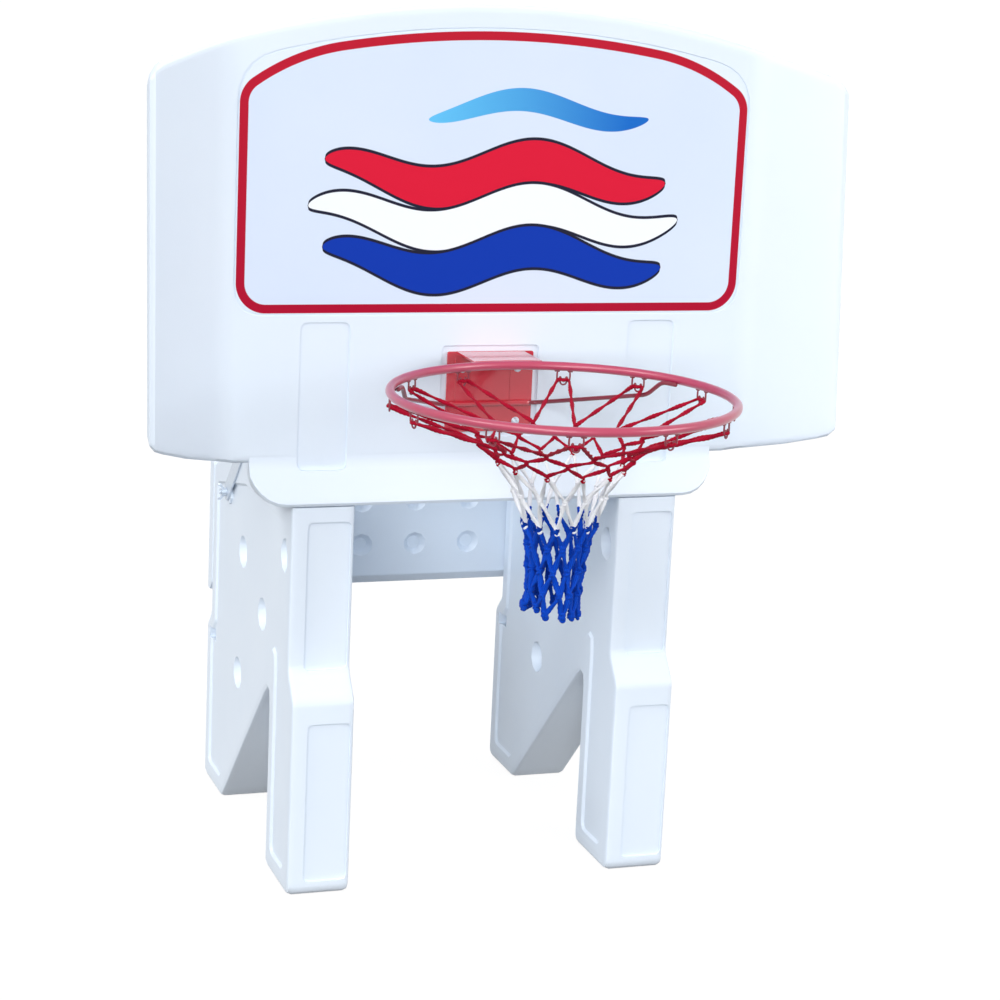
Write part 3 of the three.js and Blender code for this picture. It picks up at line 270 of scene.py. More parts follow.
@dataclass(frozen=True)
class MouldedPlastic(Finish):
    """Blow-moulded polyethylene: satin, faintly mottled, with a fine grain and scuffed feet."""

    name: str = "moulded_white"
    colour: Colour = (227, 238, 250)
    shade: Colour = (218, 230, 245)
    scuff: Colour = (176, 180, 186)
    roughness: float = 0.42
    relief: float = 0.00024
    mottle_scale: float = 6.0
    flow_scale: float = 38.0
    scuff_scale: float = 140.0
    grain_scale: float = 950.0
    scuff_height: float = 0.012
    scuff_fade: float = 0.02

    def sockets(self, graph: Graph) -> Inputs:
        """Mottles the colour slowly, scuffs it near the deck and grains the surface finely.

        Args:
            graph: The material's nodes.

        Returns:
            The surface's values and signals by socket name.
        """
        height = graph.parts(graph.own())[2]
        mottle = graph.noise(self.mottle_scale, 3.0)
        grain = graph.noise(self.grain_scale)
        flow = graph.noise(self.flow_scale)
        low = height.below(self.scuff_height, self.scuff_fade)
        scuffs = low * graph.noise(self.scuff_scale, 4.0) * 0.35
        colour = graph.mix(mottle.about(0.35, 0.7), self.colour, self.shade)
        return {
            "Base Color": graph.mix(scuffs, colour, self.scuff),
            "Roughness": grain.about(mottle.about(self.roughness, 0.1), 0.12),
            "Specular IOR Level": 0.45,
            "Normal": graph.bump(grain * 0.35 + flow * 0.65, self.relief, 0.5),
        }


@dataclass(frozen=True)
class Enamel(Finish):
    """Semi-gloss enamel on steel, with a little orange peel."""

    name: str
    colour: Colour
    worn: Colour
    roughness: float = 0.3
    coat: float = 0.3
    coat_roughness: float = 0.18
    cloud_scale: float = 16.0
    peel_scale: float = 110.0
    peel_height: float = 0.00003

    def sockets(self, graph: Graph) -> Inputs:
        """Clouds the colour slowly, and lets the peel move the gloss and the surface.

        Args:
            graph: The material's nodes.

        Returns:
            The surface's values and signals by socket name.
        """
        peel = graph.noise(self.peel_scale, 1.0)
        cloud = graph.noise(self.cloud_scale, 3.0)
        return {
            "Base Color": graph.mix((cloud - 0.35) * 0.9, self.colour, self.worn),
            "Roughness": peel.about(self.roughness, 0.08),
            "Coat Weight": self.coat,
            "Coat Roughness": self.coat_roughness,
            "Normal": graph.bump(peel, self.peel_height, 0.2),
        }


@dataclass(frozen=True)
class PlatedSteel(Finish):
    """Zinc plate, faintly spangled, with a fine grain."""

    name: str = "zinc_plate"
    colour: Colour = (188, 199, 212)
    bright: Colour = (214, 223, 233)
    metal: float = 0.7
    roughness: float = 0.46
    spangle_scale: float = 260.0
    grain_scale: float = 1800.0
    grain_height: float = 0.00004

    def sockets(self, graph: Graph) -> Inputs:
        """Spangles the colour and the gloss, and grains the surface.

        Args:
            graph: The material's nodes.

        Returns:
            The surface's values and signals by socket name.
        """
        spangle = graph.noise(self.spangle_scale)
        return {
            "Base Color": graph.mix(spangle, self.colour, self.bright),
            "Metallic": self.metal,
            "Roughness": spangle.about(self.roughness, 0.25),
            "Normal": graph.bump(graph.noise(self.grain_scale), self.grain_height, 0.4),
        }


@dataclass(frozen=True)
class Rubber(Finish):
    """Matt black rubber."""

    name: str = "black_rubber"
    colour: Colour = (26, 27, 29)
    dust: Colour = (44, 45, 48)
    grain_scale: float = 700.0

    def sockets(self, graph: Graph) -> Inputs:
        """Lets one fine grain dust the colour and dull the gloss.

        Args:
            graph: The material's nodes.

        Returns:
            The surface's values and signals by socket name.
        """
        grain = graph.noise(self.grain_scale, 3.0)
        colour = graph.mix(grain, self.colour, self.dust)
        return {"Base Color": colour, "Roughness": grain * 0.2 + 0.65}


@dataclass(frozen=True)
class BraidedCord(Finish):
    """Braided cord: crossing diagonal plaits along the cord's own map, with fuzz and painted shade
    in the gaps between plaits.
    """

    name: str
    colour: Colour
    painted_groove_shade: Colour
    plait: float = 0.0065
    plaits_round: float = 4.0
    plait_height: float = 0.0007
    fuzz_scale: float = 1500.0
    roughness: float = 0.72

    def sockets(self, graph: Graph) -> Inputs:
        """Takes the larger of two diagonal waves as the plaits, and paints shade on what lies
        between.

        Args:
            graph: The material's nodes.

        Returns:
            The surface's values and signals by socket name.
        """
        length, share, _ = graph.parts(graph.out(graph.node("ShaderNodeUVMap")))
        along = length * (TURN / self.plait)
        around = share * (TURN * self.plaits_round)
        plaits = abs((along + around).sine()).at_least(abs((along - around).sine()))
        fuzz = graph.noise(self.fuzz_scale, 3.0)
        # Painted shade: the gaps between the plaits take the darker groove colour.
        groove_shade_mask = fuzz.about((1.0 - plaits) * 1.5, 0.5).clamped()
        return {
            "Base Color": graph.mix(groove_shade_mask, self.colour, self.painted_groove_shade),
            "Roughness": fuzz.about(self.roughness, 0.2),
            "Specular IOR Level": 0.12,
            "Sheen Weight": 0.03,
            "Normal": graph.bump(plaits * 0.8 + fuzz * 0.2, self.plait_height, 0.8),
        }


@dataclass(frozen=True)
class Ribbon:
    """One wave of the print, by its middle's height, half length, half height and colour.

    The ribbon's middle is a sine of the place across, and its half height falls to nothing at
    both ends as the root of one less the square of the place.
    """

    centre: float
    reach: float
    thick: float
    fill: Colour
    swing: float = 0.020
    phase: float = 0.4
    wave: float = 0.31
    end_slope: float = 4.0

    def distance(self, across: Signal, height: Signal) -> Signal:
        """Distance outwards from the ribbon.

        Args:
            across: The place across the film.
            height: The height above the deck.

        Returns:
            The distance in metres, below zero inside.
        """
        middle = (across * (TURN / self.wave) + self.phase).sine() * self.swing + self.centre
        share = (1.0 - (across / self.reach) ** 2.0).at_least(0.0).root()
        past = (abs(across) - self.reach).at_least(0.0)
        return abs(height - middle) - share * self.thick + past * self.end_slope


@dataclass(frozen=True)
class PrintedFace(Finish):
    """Printed film: a red border and three outlined wave ribbons under a pale blue crest."""

    half_width: float
    base: float
    top: float
    name: str = "printed_face"
    crown_gap: float = 0.0014
    arch_radius: float = 1.44
    haunch_radius: float = 0.318
    haunch_turn: float = 0.168
    foot_radius: float = 0.046
    shoulder_radius: float = 0.044
    margin: float = 0.0012
    border: float = 0.0128
    outline: float = 0.0045
    edge: float = 0.0008
    joint: float = 0.001
    sheet_scale: float = 5.0
    gloss_scale: float = 60.0
    wave_scale: float = 24.0
    wave_height: float = 0.0003
    roughness: float = 0.34
    sheet: tuple[Colour, Colour] = ((218, 229, 247), (209, 223, 245))
    rim: Colour = (225, 236, 250)
    reds: tuple[Colour, Colour] = ((170, 0, 44), (186, 20, 46))
    ink: Colour = (18, 20, 44)
    ribbons: tuple[Ribbon, ...] = (
        Ribbon(1.075, 0.262, 0.031, (214, 20, 54)),
        Ribbon(1.012, 0.285, 0.030, (240, 245, 253)),
        Ribbon(0.949, 0.262, 0.031, (0, 52, 168)),
    )
    crest: Ribbon = Ribbon(1.168, 0.17, 0.017, (96, 190, 240), 0.016, 2.2)
    crest_end: Colour = (20, 104, 196)
    crest_middle: float = 0.06
    crest_blend: Pair = (-0.1, 0.3)

    def inset(self, across: Signal, height: Signal) -> Signal:
        """Distance inwards from the film's outline.

        The outline is straight at the foot and the sides. Above, one wide circle over the
        middle goes on into a smaller circle at each haunch, and a still smaller one rounds
        the shoulder: it touches the side and the haunch's circle from inside, and counts
        where a point lies between the directions of those two touches. Each foot corner is
        the corner's radius less how far a point lies past the corner's centre.

        Args:
            across: The place across the film.
            height: The height above the deck.

        Returns:
            The distance in metres.
        """
        side = self.half_width - abs(across)
        arch_foot = self.top - self.crown_gap - self.arch_radius
        crown = self.arch_radius - (across**2.0 + (height - arch_foot) ** 2.0).root()
        reach = self.arch_radius - self.haunch_radius
        cosine, sine = math.cos(self.haunch_turn), math.sin(self.haunch_turn)
        out = abs(across) - reach * sine
        rise = height - (arch_foot + reach * cosine)
        haunch = self.haunch_radius - (out**2.0 + rise**2.0).root()
        over_crown = (out * cosine - rise * sine).below(0.0, self.joint)
        top = haunch + (crown - haunch) * over_crown
        lean = self.haunch_radius - self.shoulder_radius
        level = self.half_width - self.shoulder_radius - reach * sine
        climb = math.sqrt(lean**2 - level**2)
        beside, above = out - level, rise - climb
        shoulder = self.shoulder_radius - (beside**2.0 + above**2.0).root()
        turned = beside * (climb / lean) - above * (level / lean)
        in_shoulder = (1.0 - above.below(0.0, self.joint)) * (1.0 - turned.below(0.0, self.joint))
        edges = side.at_most(top)
        upper = edges + (shoulder - edges) * in_shoulder
        first = self.foot_radius - side
        second = self.foot_radius - (height - self.base)
        past = (first.at_least(0.0) ** 2.0 + second.at_least(0.0) ** 2.0).root()
        lower = self.foot_radius - past - first.at_least(second).at_most(0.0)
        return upper.at_most(lower)

    def sockets(self, graph: Graph) -> Inputs:
        """Prints the border on the sheet, then the outlined ribbons, then the crest.

        Args:
            graph: The material's nodes.

        Returns:
            The surface's values and signals by socket name.
        """
        across, _, height = graph.parts(graph.own())
        inset = self.inset(across, height)
        inner = inset.below(self.margin + self.border, self.edge)
        outer = 1.0 - inset.below(self.margin, self.edge)
        tint = graph.mix(graph.noise(self.sheet_scale), *self.sheet)
        sheet = graph.mix(outer, self.rim, tint)
        apex = self.top - self.crown_gap
        # The border's red is lighter towards the top.
        border_rise = ((height - self.base) / (apex - self.base)).clamped()
        colour = graph.mix(inner * outer, sheet, graph.mix(border_rise, *self.reds))
        for ribbon in self.ribbons:
            off = ribbon.distance(across, height)
            colour = graph.mix(off.below(self.outline, self.edge), colour, self.ink)
            colour = graph.mix(off.below(0.0, self.edge), colour, ribbon.fill)
        start, width = self.crest_blend
        blue = graph.mix(((across - start) / width).clamped(), self.crest.fill, self.crest_end)
        off = self.crest.distance(across - self.crest_middle, height)
        return {
            "Base Color": graph.mix(off.below(0.0, self.edge), colour, blue),
            "Roughness": graph.noise(self.gloss_scale).about(self.roughness, 0.1),
            "Specular IOR Level": 0.2,
            "Normal": graph.bump(graph.noise(self.wave_scale), self.wave_height, 0.35),
        }


# Mesh tools


@dataclass
class Skin:
    """Points, four-sided faces and a map of one surface, gathered before it becomes a mesh."""

    points: list[Array] = field(default_factory=list)
    faces: list[Array] = field(default_factory=list)
    maps: list[Array] = field(default_factory=list)
    count: int = 0
    merge: float = 1e-6

    def add(self, grid: Array, size: Array, rows_close: bool = False) -> None:
        """Adds a grid of points as a tube, or as a ring where its rows close.

        Args:
            grid: Points by row and column; the last column joins the first.
            size: The length in metres from the first row to each row and one past it.
            rows_close: The last row joins the first as well.
        """
        rows, columns, _ = grid.shape
        row = np.arange(rows if rows_close else rows - 1)[:, None]
        column = np.arange(columns)[None, :]
        far_row, far_column = (row + 1) % rows, (column + 1) % columns
        corners = [
            row * columns + column,
            far_row * columns + column,
            far_row * columns + far_column,
            row * columns + far_column,
        ]
        along = (size[row], size[row + 1], size[row + 1], size[row])
        around = (share / columns for share in (column, column, column + 1, column + 1))
        loops = [np.stack(np.broadcast_arrays(*pair), -1) for pair in zip(along, around)]
        self.points.append(grid.reshape(-1, 3))
        self.faces.append(np.stack(corners, -1).reshape(-1, 4) + self.count)
        self.maps.append(np.stack(loops, 2).reshape(-1, 2))
        self.count += rows * columns

    def piece(self, name: str, finish: Material, slot: str, node: str | None = None) -> Piece:
        """Makes the gathered surfaces one smooth piece.

        Args:
            name: The piece's name.
            finish: Its material.
            slot: The record's material slot; not used.
            node: The node that it stands for, if any.

        Returns:
            The new piece.
        """
        mesh = bpy.data.meshes.new(name)
        points, faces = np.concatenate(self.points), np.concatenate(self.faces)
        mesh.from_pydata(points.tolist(), [], faces.tolist())
        layer = mesh.uv_layers.new(name="cord")
        layer.data.foreach_set("uv", np.concatenate(self.maps).astype(np.float32).ravel())
        shape = bmesh.new()
        shape.from_mesh(mesh)
        bmesh.ops.remove_doubles(shape, verts=shape.verts, dist=self.merge)
        bmesh.ops.recalc_face_normals(shape, faces=shape.faces)
        shape.to_mesh(mesh)
        shape.free()
        return dressed(name, mesh, finish, node)


def linked(name: str, data: bpy.types.ID) -> Piece:
    """Adds an object to the scene.

    Args:
        name: The object's name.
        data: Its mesh, lamp or camera.

    Returns:
        The new object.
    """
    made = bpy.data.objects.new(name, data)
    bpy.context.scene.collection.objects.link(made)
    return made


def dressed(
    name: str, mesh: bpy.types.Mesh, finish: Material, node: str | None
) -> Piece:
    """Adds a mesh as a smooth piece that rides on the stand.

    Args:
        name: The piece's name.
        mesh: Its mesh.
        finish: Its material.
        node: The node that it stands for, if any.

    Returns:
        The new piece.
    """
    mesh.materials.clear()
    mesh.materials.append(finish)
    mesh.polygons.foreach_set("use_smooth", np.ones(len(mesh.polygons), bool))
    piece = linked(name, mesh)
    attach(piece, "stand")
    if node:
        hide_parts(node)
    return piece


def unit(vectors: Array) -> Array:
    """Scales each vector to a length of 1."""
    return vectors / np.linalg.norm(vectors, axis=-1, keepdims=True)


def reached(path: Array) -> Array:
    """The length along a path up to each of its points."""
    return np.concatenate([[0.0], np.cumsum(np.linalg.norm(np.diff(path, axis=0), axis=1))])


def through(points: Array, step: float) -> Array:
    """A smooth curve through points.

    Between two points it is the cubic that has their places and slopes, where a point's
    slope is the chord between its neighbours over the length along both chords.

    Args:
        points: The points in order.
        step: The spacing of the samples in metres.

    Returns:
        Samples along the curve.
    """
    reach = reached(points)
    slope = np.gradient(points, reach, axis=0)
    count = max(int(reach[-1] / step), len(points) * 2)
    at = np.linspace(0.0, reach[-1], count)
    span = np.clip(np.searchsorted(reach, at, side="right") - 1, 0, len(points) - 2)
    wide = (reach[span + 1] - reach[span])[:, None]
    share = ((at - reach[span])[:, None]) / wide
    square, cube = share**2, share**3
    return (
        (2 * cube - 3 * square + 1) * points[span]
        + (cube - 2 * square + share) * wide * slope[span]
        + (3 * square - 2 * cube) * points[span + 1]
        + (cube - square) * wide * slope[span + 1]
    )


def tube(skin: Skin, path: Array, radius: Array | float, sides: int, facing: Array) -> None:
    """Adds a round bar with domed ends along a path: a braid with no plaits that never turns.

    Args:
        skin: Where the surface goes.
        path: Points along the middle.
        radius: The radius in metres, one for all or one for each point.
        sides: Points round the ring.
        facing: A direction that the rings' first points are turned from.
    """
    braid(skin, path, radius, radius, np.zeros(len(path)), facing, lump=0.0, sides=sides)


def spaced(points: Array, step: float) -> Array:
    """Samples along straight runs between points, an equal way apart.

    Args:
        points: The points in order.
        step: The spacing in metres, near enough.

    Returns:
        The samples, with both ends among them.
    """
    reach = reached(points)
    at = np.linspace(0.0, reach[-1], max(int(reach[-1] / step), LEAST_SAMPLES))
    return np.stack([np.interp(at, reach, column) for column in points.T], 1)


def bent(corners: Array, bend: float, step: float) -> Array:
    """The middle of a bent bar: straight runs joined by curves.

    A curve leaves one run and meets the next a set way from their corner, and is the square
    curve through both places whose slopes there are the runs'.

    Args:
        corners: Where the straight runs would meet, with both ends.
        bend: How far from a corner its curve starts.
        step: The spacing of the samples.

    Returns:
        Samples along the bar.
    """
    share = np.linspace(0.0, 1.0, BEND_STEPS)[:, None]
    path = [corners[:1]]
    for before, corner, after in zip(corners, corners[1:], corners[2:]):
        back, ahead = before - corner, after - corner
        first = corner + unit(back) * min(bend, 0.5 * np.linalg.norm(back))
        last = corner + unit(ahead) * min(bend, 0.5 * np.linalg.norm(ahead))
        path.append((1 - share) ** 2 * first + 2 * share * (1 - share) * corner + share**2 * last)
    return spaced(np.concatenate([*path, corners[-1:]]), step)


def braid(
    skin: Skin,
    path: Array,
    wide: Array | float,
    thin: Array | float,
    roll: Array,
    facing: Array,
    lump: float = 0.09,
    sides: int = 10,
) -> None:
    """Adds a flat braided cord that turns about its own length.

    A ring's point is the path's point plus the half width times the cosine and the half
    thickness times the sine of its angle, along two unit vectors square to the path that
    turn with the roll. The half width swells with the sine of the length over a plait, and
    the ends close as a quarter circle does.

    Args:
        skin: Where the surface goes.
        path: Points along the middle.
        wide: The half width, one for all or one for each point.
        thin: The half thickness, likewise.
        roll: How far the cord has turned at each point, in radians.
        facing: The direction that its flat side faces at a roll of zero.
        lump: How far a plait swells, as a share of the half width.
        sides: Points round the ring.
    """
    reach = reached(path)
    near = np.minimum(reach, reach[-1] - reach)
    ease = np.clip(1.0 - near / thin, 0.0, 1.0)
    close = np.sqrt(np.clip(1.0 - ease**2, 0.0, 1.0))
    along = unit(np.gradient(path, axis=0))
    across = unit(np.cross(along, facing))
    front = np.cross(across, along)
    turn = np.stack([np.cos(roll), np.sin(roll)], 1)
    flat = across * turn[:, :1] + front * turn[:, 1:]
    thick = front * turn[:, :1] - across * turn[:, 1:]
    angle = TURN * np.arange(sides) / sides
    swell = 1.0 + lump * np.sin(reach * TURN / PLAIT)
    grid = (
        path[:, None]
        + (flat * (wide * swell * close)[:, None])[:, None] * np.cos(angle)[None, :, None]
        + (thick * (thin * close)[:, None])[:, None] * np.sin(angle)[None, :, None]
    )
    skin.add(grid, np.append(reach, reach[-1]))


def lathe(skin: Skin, centre: Array, profile: Array, sides: int) -> None:
    """Adds a shape turned about a line along Y.

    A point lies the profile's radius from the line, at the cosine and sine of its angle.

    Args:
        skin: Where the surface goes.
        centre: A point on the line; its Y is not used.
        profile: Radius and Y of each ring, from one end on the line to the other.
        sides: Points round the shape.
    """
    angle = TURN * np.arange(sides) / sides
    radius, along = profile[:, :1], profile[:, 1:]
    side, rise = radius * np.cos(angle), radius * np.sin(angle)
    grid = np.stack([centre[0] + side, along + 0.0 * angle, centre[2] + rise], 2)
    skin.add(grid, np.append(reached(profile), 0.0))


def hoop_ring(
    skin: Skin, centre: Array, axis: Array, large: float, small: float, steps: int, sides: int
) -> None:
    """Adds a round ring: a circle of the small radius carried round one of the large radius.

    Args:
        skin: Where the surface goes.
        centre: The ring's middle.
        axis: The direction that the ring turns about.
        large: The radius of the path.
        small: The radius of the bar.
        steps: Samples round the path.
        sides: Points round the bar.
    """
    axis = unit(axis)
    spare = np.eye(3)[0 if abs(axis[0]) < 0.8 else 1]
    first = unit(np.cross(axis, spare))
    second = np.cross(axis, first)
    turn = TURN * np.arange(steps) / steps
    roll = TURN * np.arange(sides) / sides
    spoke = np.outer(np.cos(turn), first) + np.outer(np.sin(turn), second)
    reach = large + small * np.cos(roll)
    grid = centre + spoke[:, None] * reach[:, None] + np.outer(small * np.sin(roll), axis)
    skin.add(grid, np.linspace(0.0, TURN * large, steps + 1), rows_close=True)


# Sub-assemblies


class Shell(Enum):
    """The moulded nodes."""

    BACKBOARD = "backboard"
    LEFT_PANEL = "side_panel_left"
    RIGHT_PANEL = "side_panel_right"
    CROSS_PANEL = "rear_cross_panel"


@dataclass
class MouldedShells:
    """Board, ballast panels and cross panel, with the small rounded edges of a blow mould."""

    finish: Material
    round_edge: float = 0.0028
    steps: int = 3
    sharp: float = math.radians(34)
    flat: float = math.radians(0.6)
    merge: float = 2e-5
    corner_weight: int = 60

    def build(self) -> list[Piece]:
        """Builds one skin for each moulded node."""
        return [self.skin(shell.value) for shell in Shell]

    def skin(self, node: str) -> Piece:
        """Rounds the sharp edges of a copy of a node.

        Args:
            node: The node's name.

        Returns:
            The new piece.
        """
        mesh = frame["nodes"][node].data.copy()
        shape = bmesh.new()
        shape.from_mesh(mesh)
        bmesh.ops.remove_doubles(shape, verts=shape.verts, dist=self.merge)
        every = {"verts": shape.verts, "edges": shape.edges}
        bmesh.ops.dissolve_limit(shape, angle_limit=self.flat, **every)
        keen = [
            edge
            for edge in shape.edges
            if len(edge.link_faces) == 2 and edge.calc_face_angle(0.0) > self.sharp
        ]
        how = {"offset_type": "OFFSET", "segments": self.steps, "profile": 0.5, "affect": "EDGES"}
        hold = {"clamp_overlap": True, "loop_slide": True}
        bmesh.ops.bevel(shape, geom=keen, offset=self.round_edge, **how, **hold)
        shape.to_mesh(mesh)
        shape.free()
        piece = dressed(f"{node}_shell", mesh, self.finish, node)
        shade = piece.modifiers.new("shade", "WEIGHTED_NORMAL")
        shade.mode = "FACE_AREA"
        shade.weight = self.corner_weight
        shade.keep_sharp = False
        return piece


@dataclass
class Rim:
    """The round bar, its brace rod, its bracket's pressings and bolts, and its net hooks.

    Turns are in degrees. The outlines of a hook's half and of a bolt's head are in
    millimetres: places along and under the bar, and a radius and its rise from the plate.
    A grid is the spacing of a bar's samples, or their number, and the points round it.
    """

    centre: Array
    red: Material
    plate_red: Material
    dark_red: Material
    zinc: Material
    radius: float = 0.2381
    bar: float = 0.0064
    bar_steps: tuple[int, int] = (240, 28)
    hook_wire: float = 0.0013
    hook_turns: tuple[float, ...] = (14.5, 43, 70, 107.5, 134, 166, 194, 227.5, 254, 286, 316, 347)
    hook_half: tuple[Pair, ...] = (
        (0.0, -26.9), (2.3, -26.3), (4.0, -24.6), (4.6, -21.9), (4.0, -19.2),
        (3.6, -16.9), (4.6, -15.4), (5.7, -16.8), (6.3, -19.2), (7.5, -20.6),
        (8.8, -19.6), (9.4, -16.4), (9.4, -12.0), (9.0, -5.6),
    )
    hook_weld: Pair = (0.0042, 0.0019)
    weld_sink: float = 0.0002
    drop_length: float = 0.0024
    rod: float = 0.0032
    rod_bend: float = 0.009
    rod_foot: Pair = (0.052, 0.075)
    knee: tuple[float, float, float] = (0.182, 0.146, -0.0286)
    tab_drop: float = 0.0057
    tab_turns: Pair = (32.0, 25.0)
    tab_gap: float = 0.0003
    tab_ease: float = 0.0006
    tab_weld: Pair = (0.011, 0.0015)
    tab_weld_out: float = 0.0034
    tab_weld_drop: float = 0.0012
    plate_metal: float = 0.0035
    rib_half: float = 0.0655
    rib_proud: float = 0.0008
    press_lines: Pair = (-0.054, 0.032)
    press_bar: float = 0.0008
    press_foot: float = 0.003
    press_top: float = 0.8055
    bolt_head: tuple[Pair, ...] = (
        (0.0, 1.9), (1.5, 1.9), (1.7, 3.1), (2.6, 3.2), (3.8, 2.7),
        (4.6, 1.8), (4.9, 0.9), (5.0, 0.8), (5.9, 0.75), (6.0, 0.0),
    )
    bolt_shank: float = 0.0029
    bolt_end: float = 0.0006
    bolt_ease: float = 0.0002
    bolt_sides: int = 24
    rod_grid: tuple[float, int] = (0.0022, 16)
    rib_grid: tuple[float, int] = (0.004, 20)
    press_grid: tuple[float, int] = (0.003, 8)
    hook_grid: tuple[float, int] = (0.0007, 9)
    weld_grid: tuple[int, int] = (25, 10)
    weld_apart: float = 1.05
    drop_swell: float = 0.12

    def build(self) -> list[Piece]:
        """Builds the bar, the rod, the bracket's details and all hooks."""
        return [self.ring(), self.brace_rod(), self.pressings(), *self.bolts(), *self.hooks()]

    def spoke(self, turn: float) -> Array:
        """The level unit vector from the rim's middle at a turn in degrees."""
        angle = math.radians(turn)
        return np.array([math.cos(angle), math.sin(angle), 0.0])

    def plate(self) -> float:
        """Where the front of the bracket's plate lies along Y."""
        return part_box("rim_bracket")[1].y - self.plate_metal

    def ring(self) -> Piece:
        """The rim's bar.

        Returns:
            The new piece.
        """
        skin = Skin()
        hoop_ring(skin, self.centre, UP, self.radius, self.bar, *self.bar_steps)
        # The bar's enamel is red with a bluer tint that is painted sky reflection.
        return skin.piece("rim_bar", self.red, "red_enamel", "rim_ring")

    def brace_rod(self) -> Piece:
        """The bent rod from the bracket's foot to both sides of the rim, with its two welds.

        Returns:
            The new piece.
        """
        low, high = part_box("rim_brace")
        back, level = high.y - self.rod, low.z + self.rod
        seat = self.bar + self.rod + self.tab_gap
        tab = self.radius - math.sqrt(seat**2 - self.tab_drop**2)
        drop = UP * self.tab_drop
        start, end = (self.centre + self.spoke(turn) * tab - drop for turn in self.tab_turns)
        half = [
            *(np.array([across, back, level]) for across in self.rod_foot),
            self.centre + np.array(self.knee),
            start - self.spoke(self.tab_turns[0]) * self.tab_ease,
            end,
        ]
        corners = np.array([*[point * MIRROR for point in reversed(half)], *half])
        skin = Skin()
        step, sides = self.rod_grid
        tube(skin, bent(corners, self.rod_bend, step), self.rod, sides, UP)
        for mirror in (MIRROR, np.ones(3)):
            middle = self.spoke(np.mean(self.tab_turns)) * mirror
            seam = self.centre + middle * (tab + self.tab_weld_out)
            seam = seam - UP * (self.tab_drop + self.tab_weld_drop)
            self.weld(skin, seam, np.cross(UP, middle), self.tab_weld)
        return skin.piece("brace_rod", self.dark_red, "dark_red_enamel", "rim_brace")

    def pressings(self) -> Piece:
        """The bracket's rib over the rod and its two upright pressed lines.

        Returns:
            The new piece.
        """
        low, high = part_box("rim_brace")
        level, plate = low.z + self.rod, self.plate()
        across = np.array([self.rib_half, 0.0, 0.0])
        middle = np.array([0.0, high.y - self.rod, level])
        skin = Skin()
        step, sides = self.rib_grid
        rib = spaced(np.array([middle - across, middle + across]), step)
        tube(skin, rib, self.rod + self.rib_proud, sides, UP)
        step, sides = self.press_grid
        for line in self.press_lines:
            ends = [[line, plate, level + self.press_foot], [line, plate, self.press_top]]
            tube(skin, spaced(np.array(ends), step), self.press_bar, sides, across)
        return skin.piece("bracket_pressings", self.plate_red, "red_enamel")

    def bolts(self) -> list[Piece]:
        """The bracket's four domed bolts, each with a round socket and a washer.

        Returns:
            The new pieces.
        """
        pieces = []
        plate, shank = self.plate(), self.bolt_shank
        for mark in (f"{side}_{index}" for side in ("left", "right") for index in (1, 2)):
            node = f"bracket_bolt_{mark}"
            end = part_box(node)[1].y
            head = [(radius * MM, plate - rise * MM) for radius, rise in self.bolt_head]
            shoulder = (shank - self.bolt_end, end)
            foot = [(shank, plate), (shank, end - self.bolt_end), shoulder, (0.0, end)]
            skin = Skin()
            lathe(skin, middle_of(node), np.array([*head, *foot]), self.bolt_sides)
            piece = skin.piece(f"socket_bolt_{mark}", self.zinc, "zinc_steel", node)
            ease = piece.modifiers.new("ease", "BEVEL")
            ease.limit_method = "ANGLE"
            ease.width = self.bolt_ease
            pieces.append(piece)
        return pieces

    def weld(self, skin: Skin, middle: Array, along: Array, size: Pair) -> None:
        """Adds a weld: a short bar whose radius swells where each drop of metal set.

        Args:
            skin: Where the surface goes.
            middle: The weld's middle.
            along: The direction that it runs in.
            size: Half its length, and its radius.
        """
        half, radius = size
        steps, sides = self.weld_grid
        place = np.linspace(-half, half, steps)
        wave = self.drop_swell * np.cos(place * TURN / self.drop_length)
        drops = radius * (1.0 - self.drop_swell + wave)
        tube(skin, middle + place[:, None] * along, drops, sides, UP)

    def hooks(self) -> list[Piece]:
        """The bent wires under the rim, each with its two welds, in the darker red enamel as
        painted shade.

        The wire falls from one weld, turns up, goes round a small open ring in the middle and
        comes back to the other weld the same way.

        Returns:
            The new pieces.
        """
        half = np.array(self.hook_half) * MM
        outline = np.concatenate([half[:0:-1] * MIRROR[:2], half])
        step, sides = self.hook_grid
        pieces = []
        for index, turn in enumerate(self.hook_turns, 1):
            out, along = self.spoke(turn), self.spoke(turn + 90)
            foot = self.centre + out * self.radius
            points = foot + outline[:, :1] * along + outline[:, 1:] * UP
            skin = Skin()
            tube(skin, through(points, step), self.hook_wire, sides, out)
            for side in (-self.weld_apart, self.weld_apart):
                seam = foot + along * (side * half[-1, 0]) - UP * (self.bar + self.weld_sink)
                self.weld(skin, seam, along, self.hook_weld)
            name, node = f"hook_wire_{index}", f"net_hook_{index}"
            # The wires take the darker red enamel as painted shade, though their slot is the red
            # enamel.
            pieces.append(skin.piece(name, self.dark_red, "red_enamel", node))
        return pieces


@dataclass(frozen=True)
class NetRow:
    """One row of the net's knots, in millimetres but for its share of the net's length.

    drop is the share of the length, spread the ring's radius, run half the length over which
    two cords lie together, wide and thin the cord's half width and half thickness, shift how
    far the row hangs to one side, twist how far it has turned, in degrees, and lift how much
    higher its bunched side hangs.
    """

    drop: float
    spread: float
    run: float
    wide: float
    thin: float
    shift: float = 0.0
    twist: float = 0.0
    lift: float = 0.0


@dataclass(frozen=True)
class Band:
    """One coloured band of the net, from its first row to its last.

    A tucked band starts a little above a row, inside the band before it.
    """

    colour: str
    first: float
    last: float
    tucked: bool = False


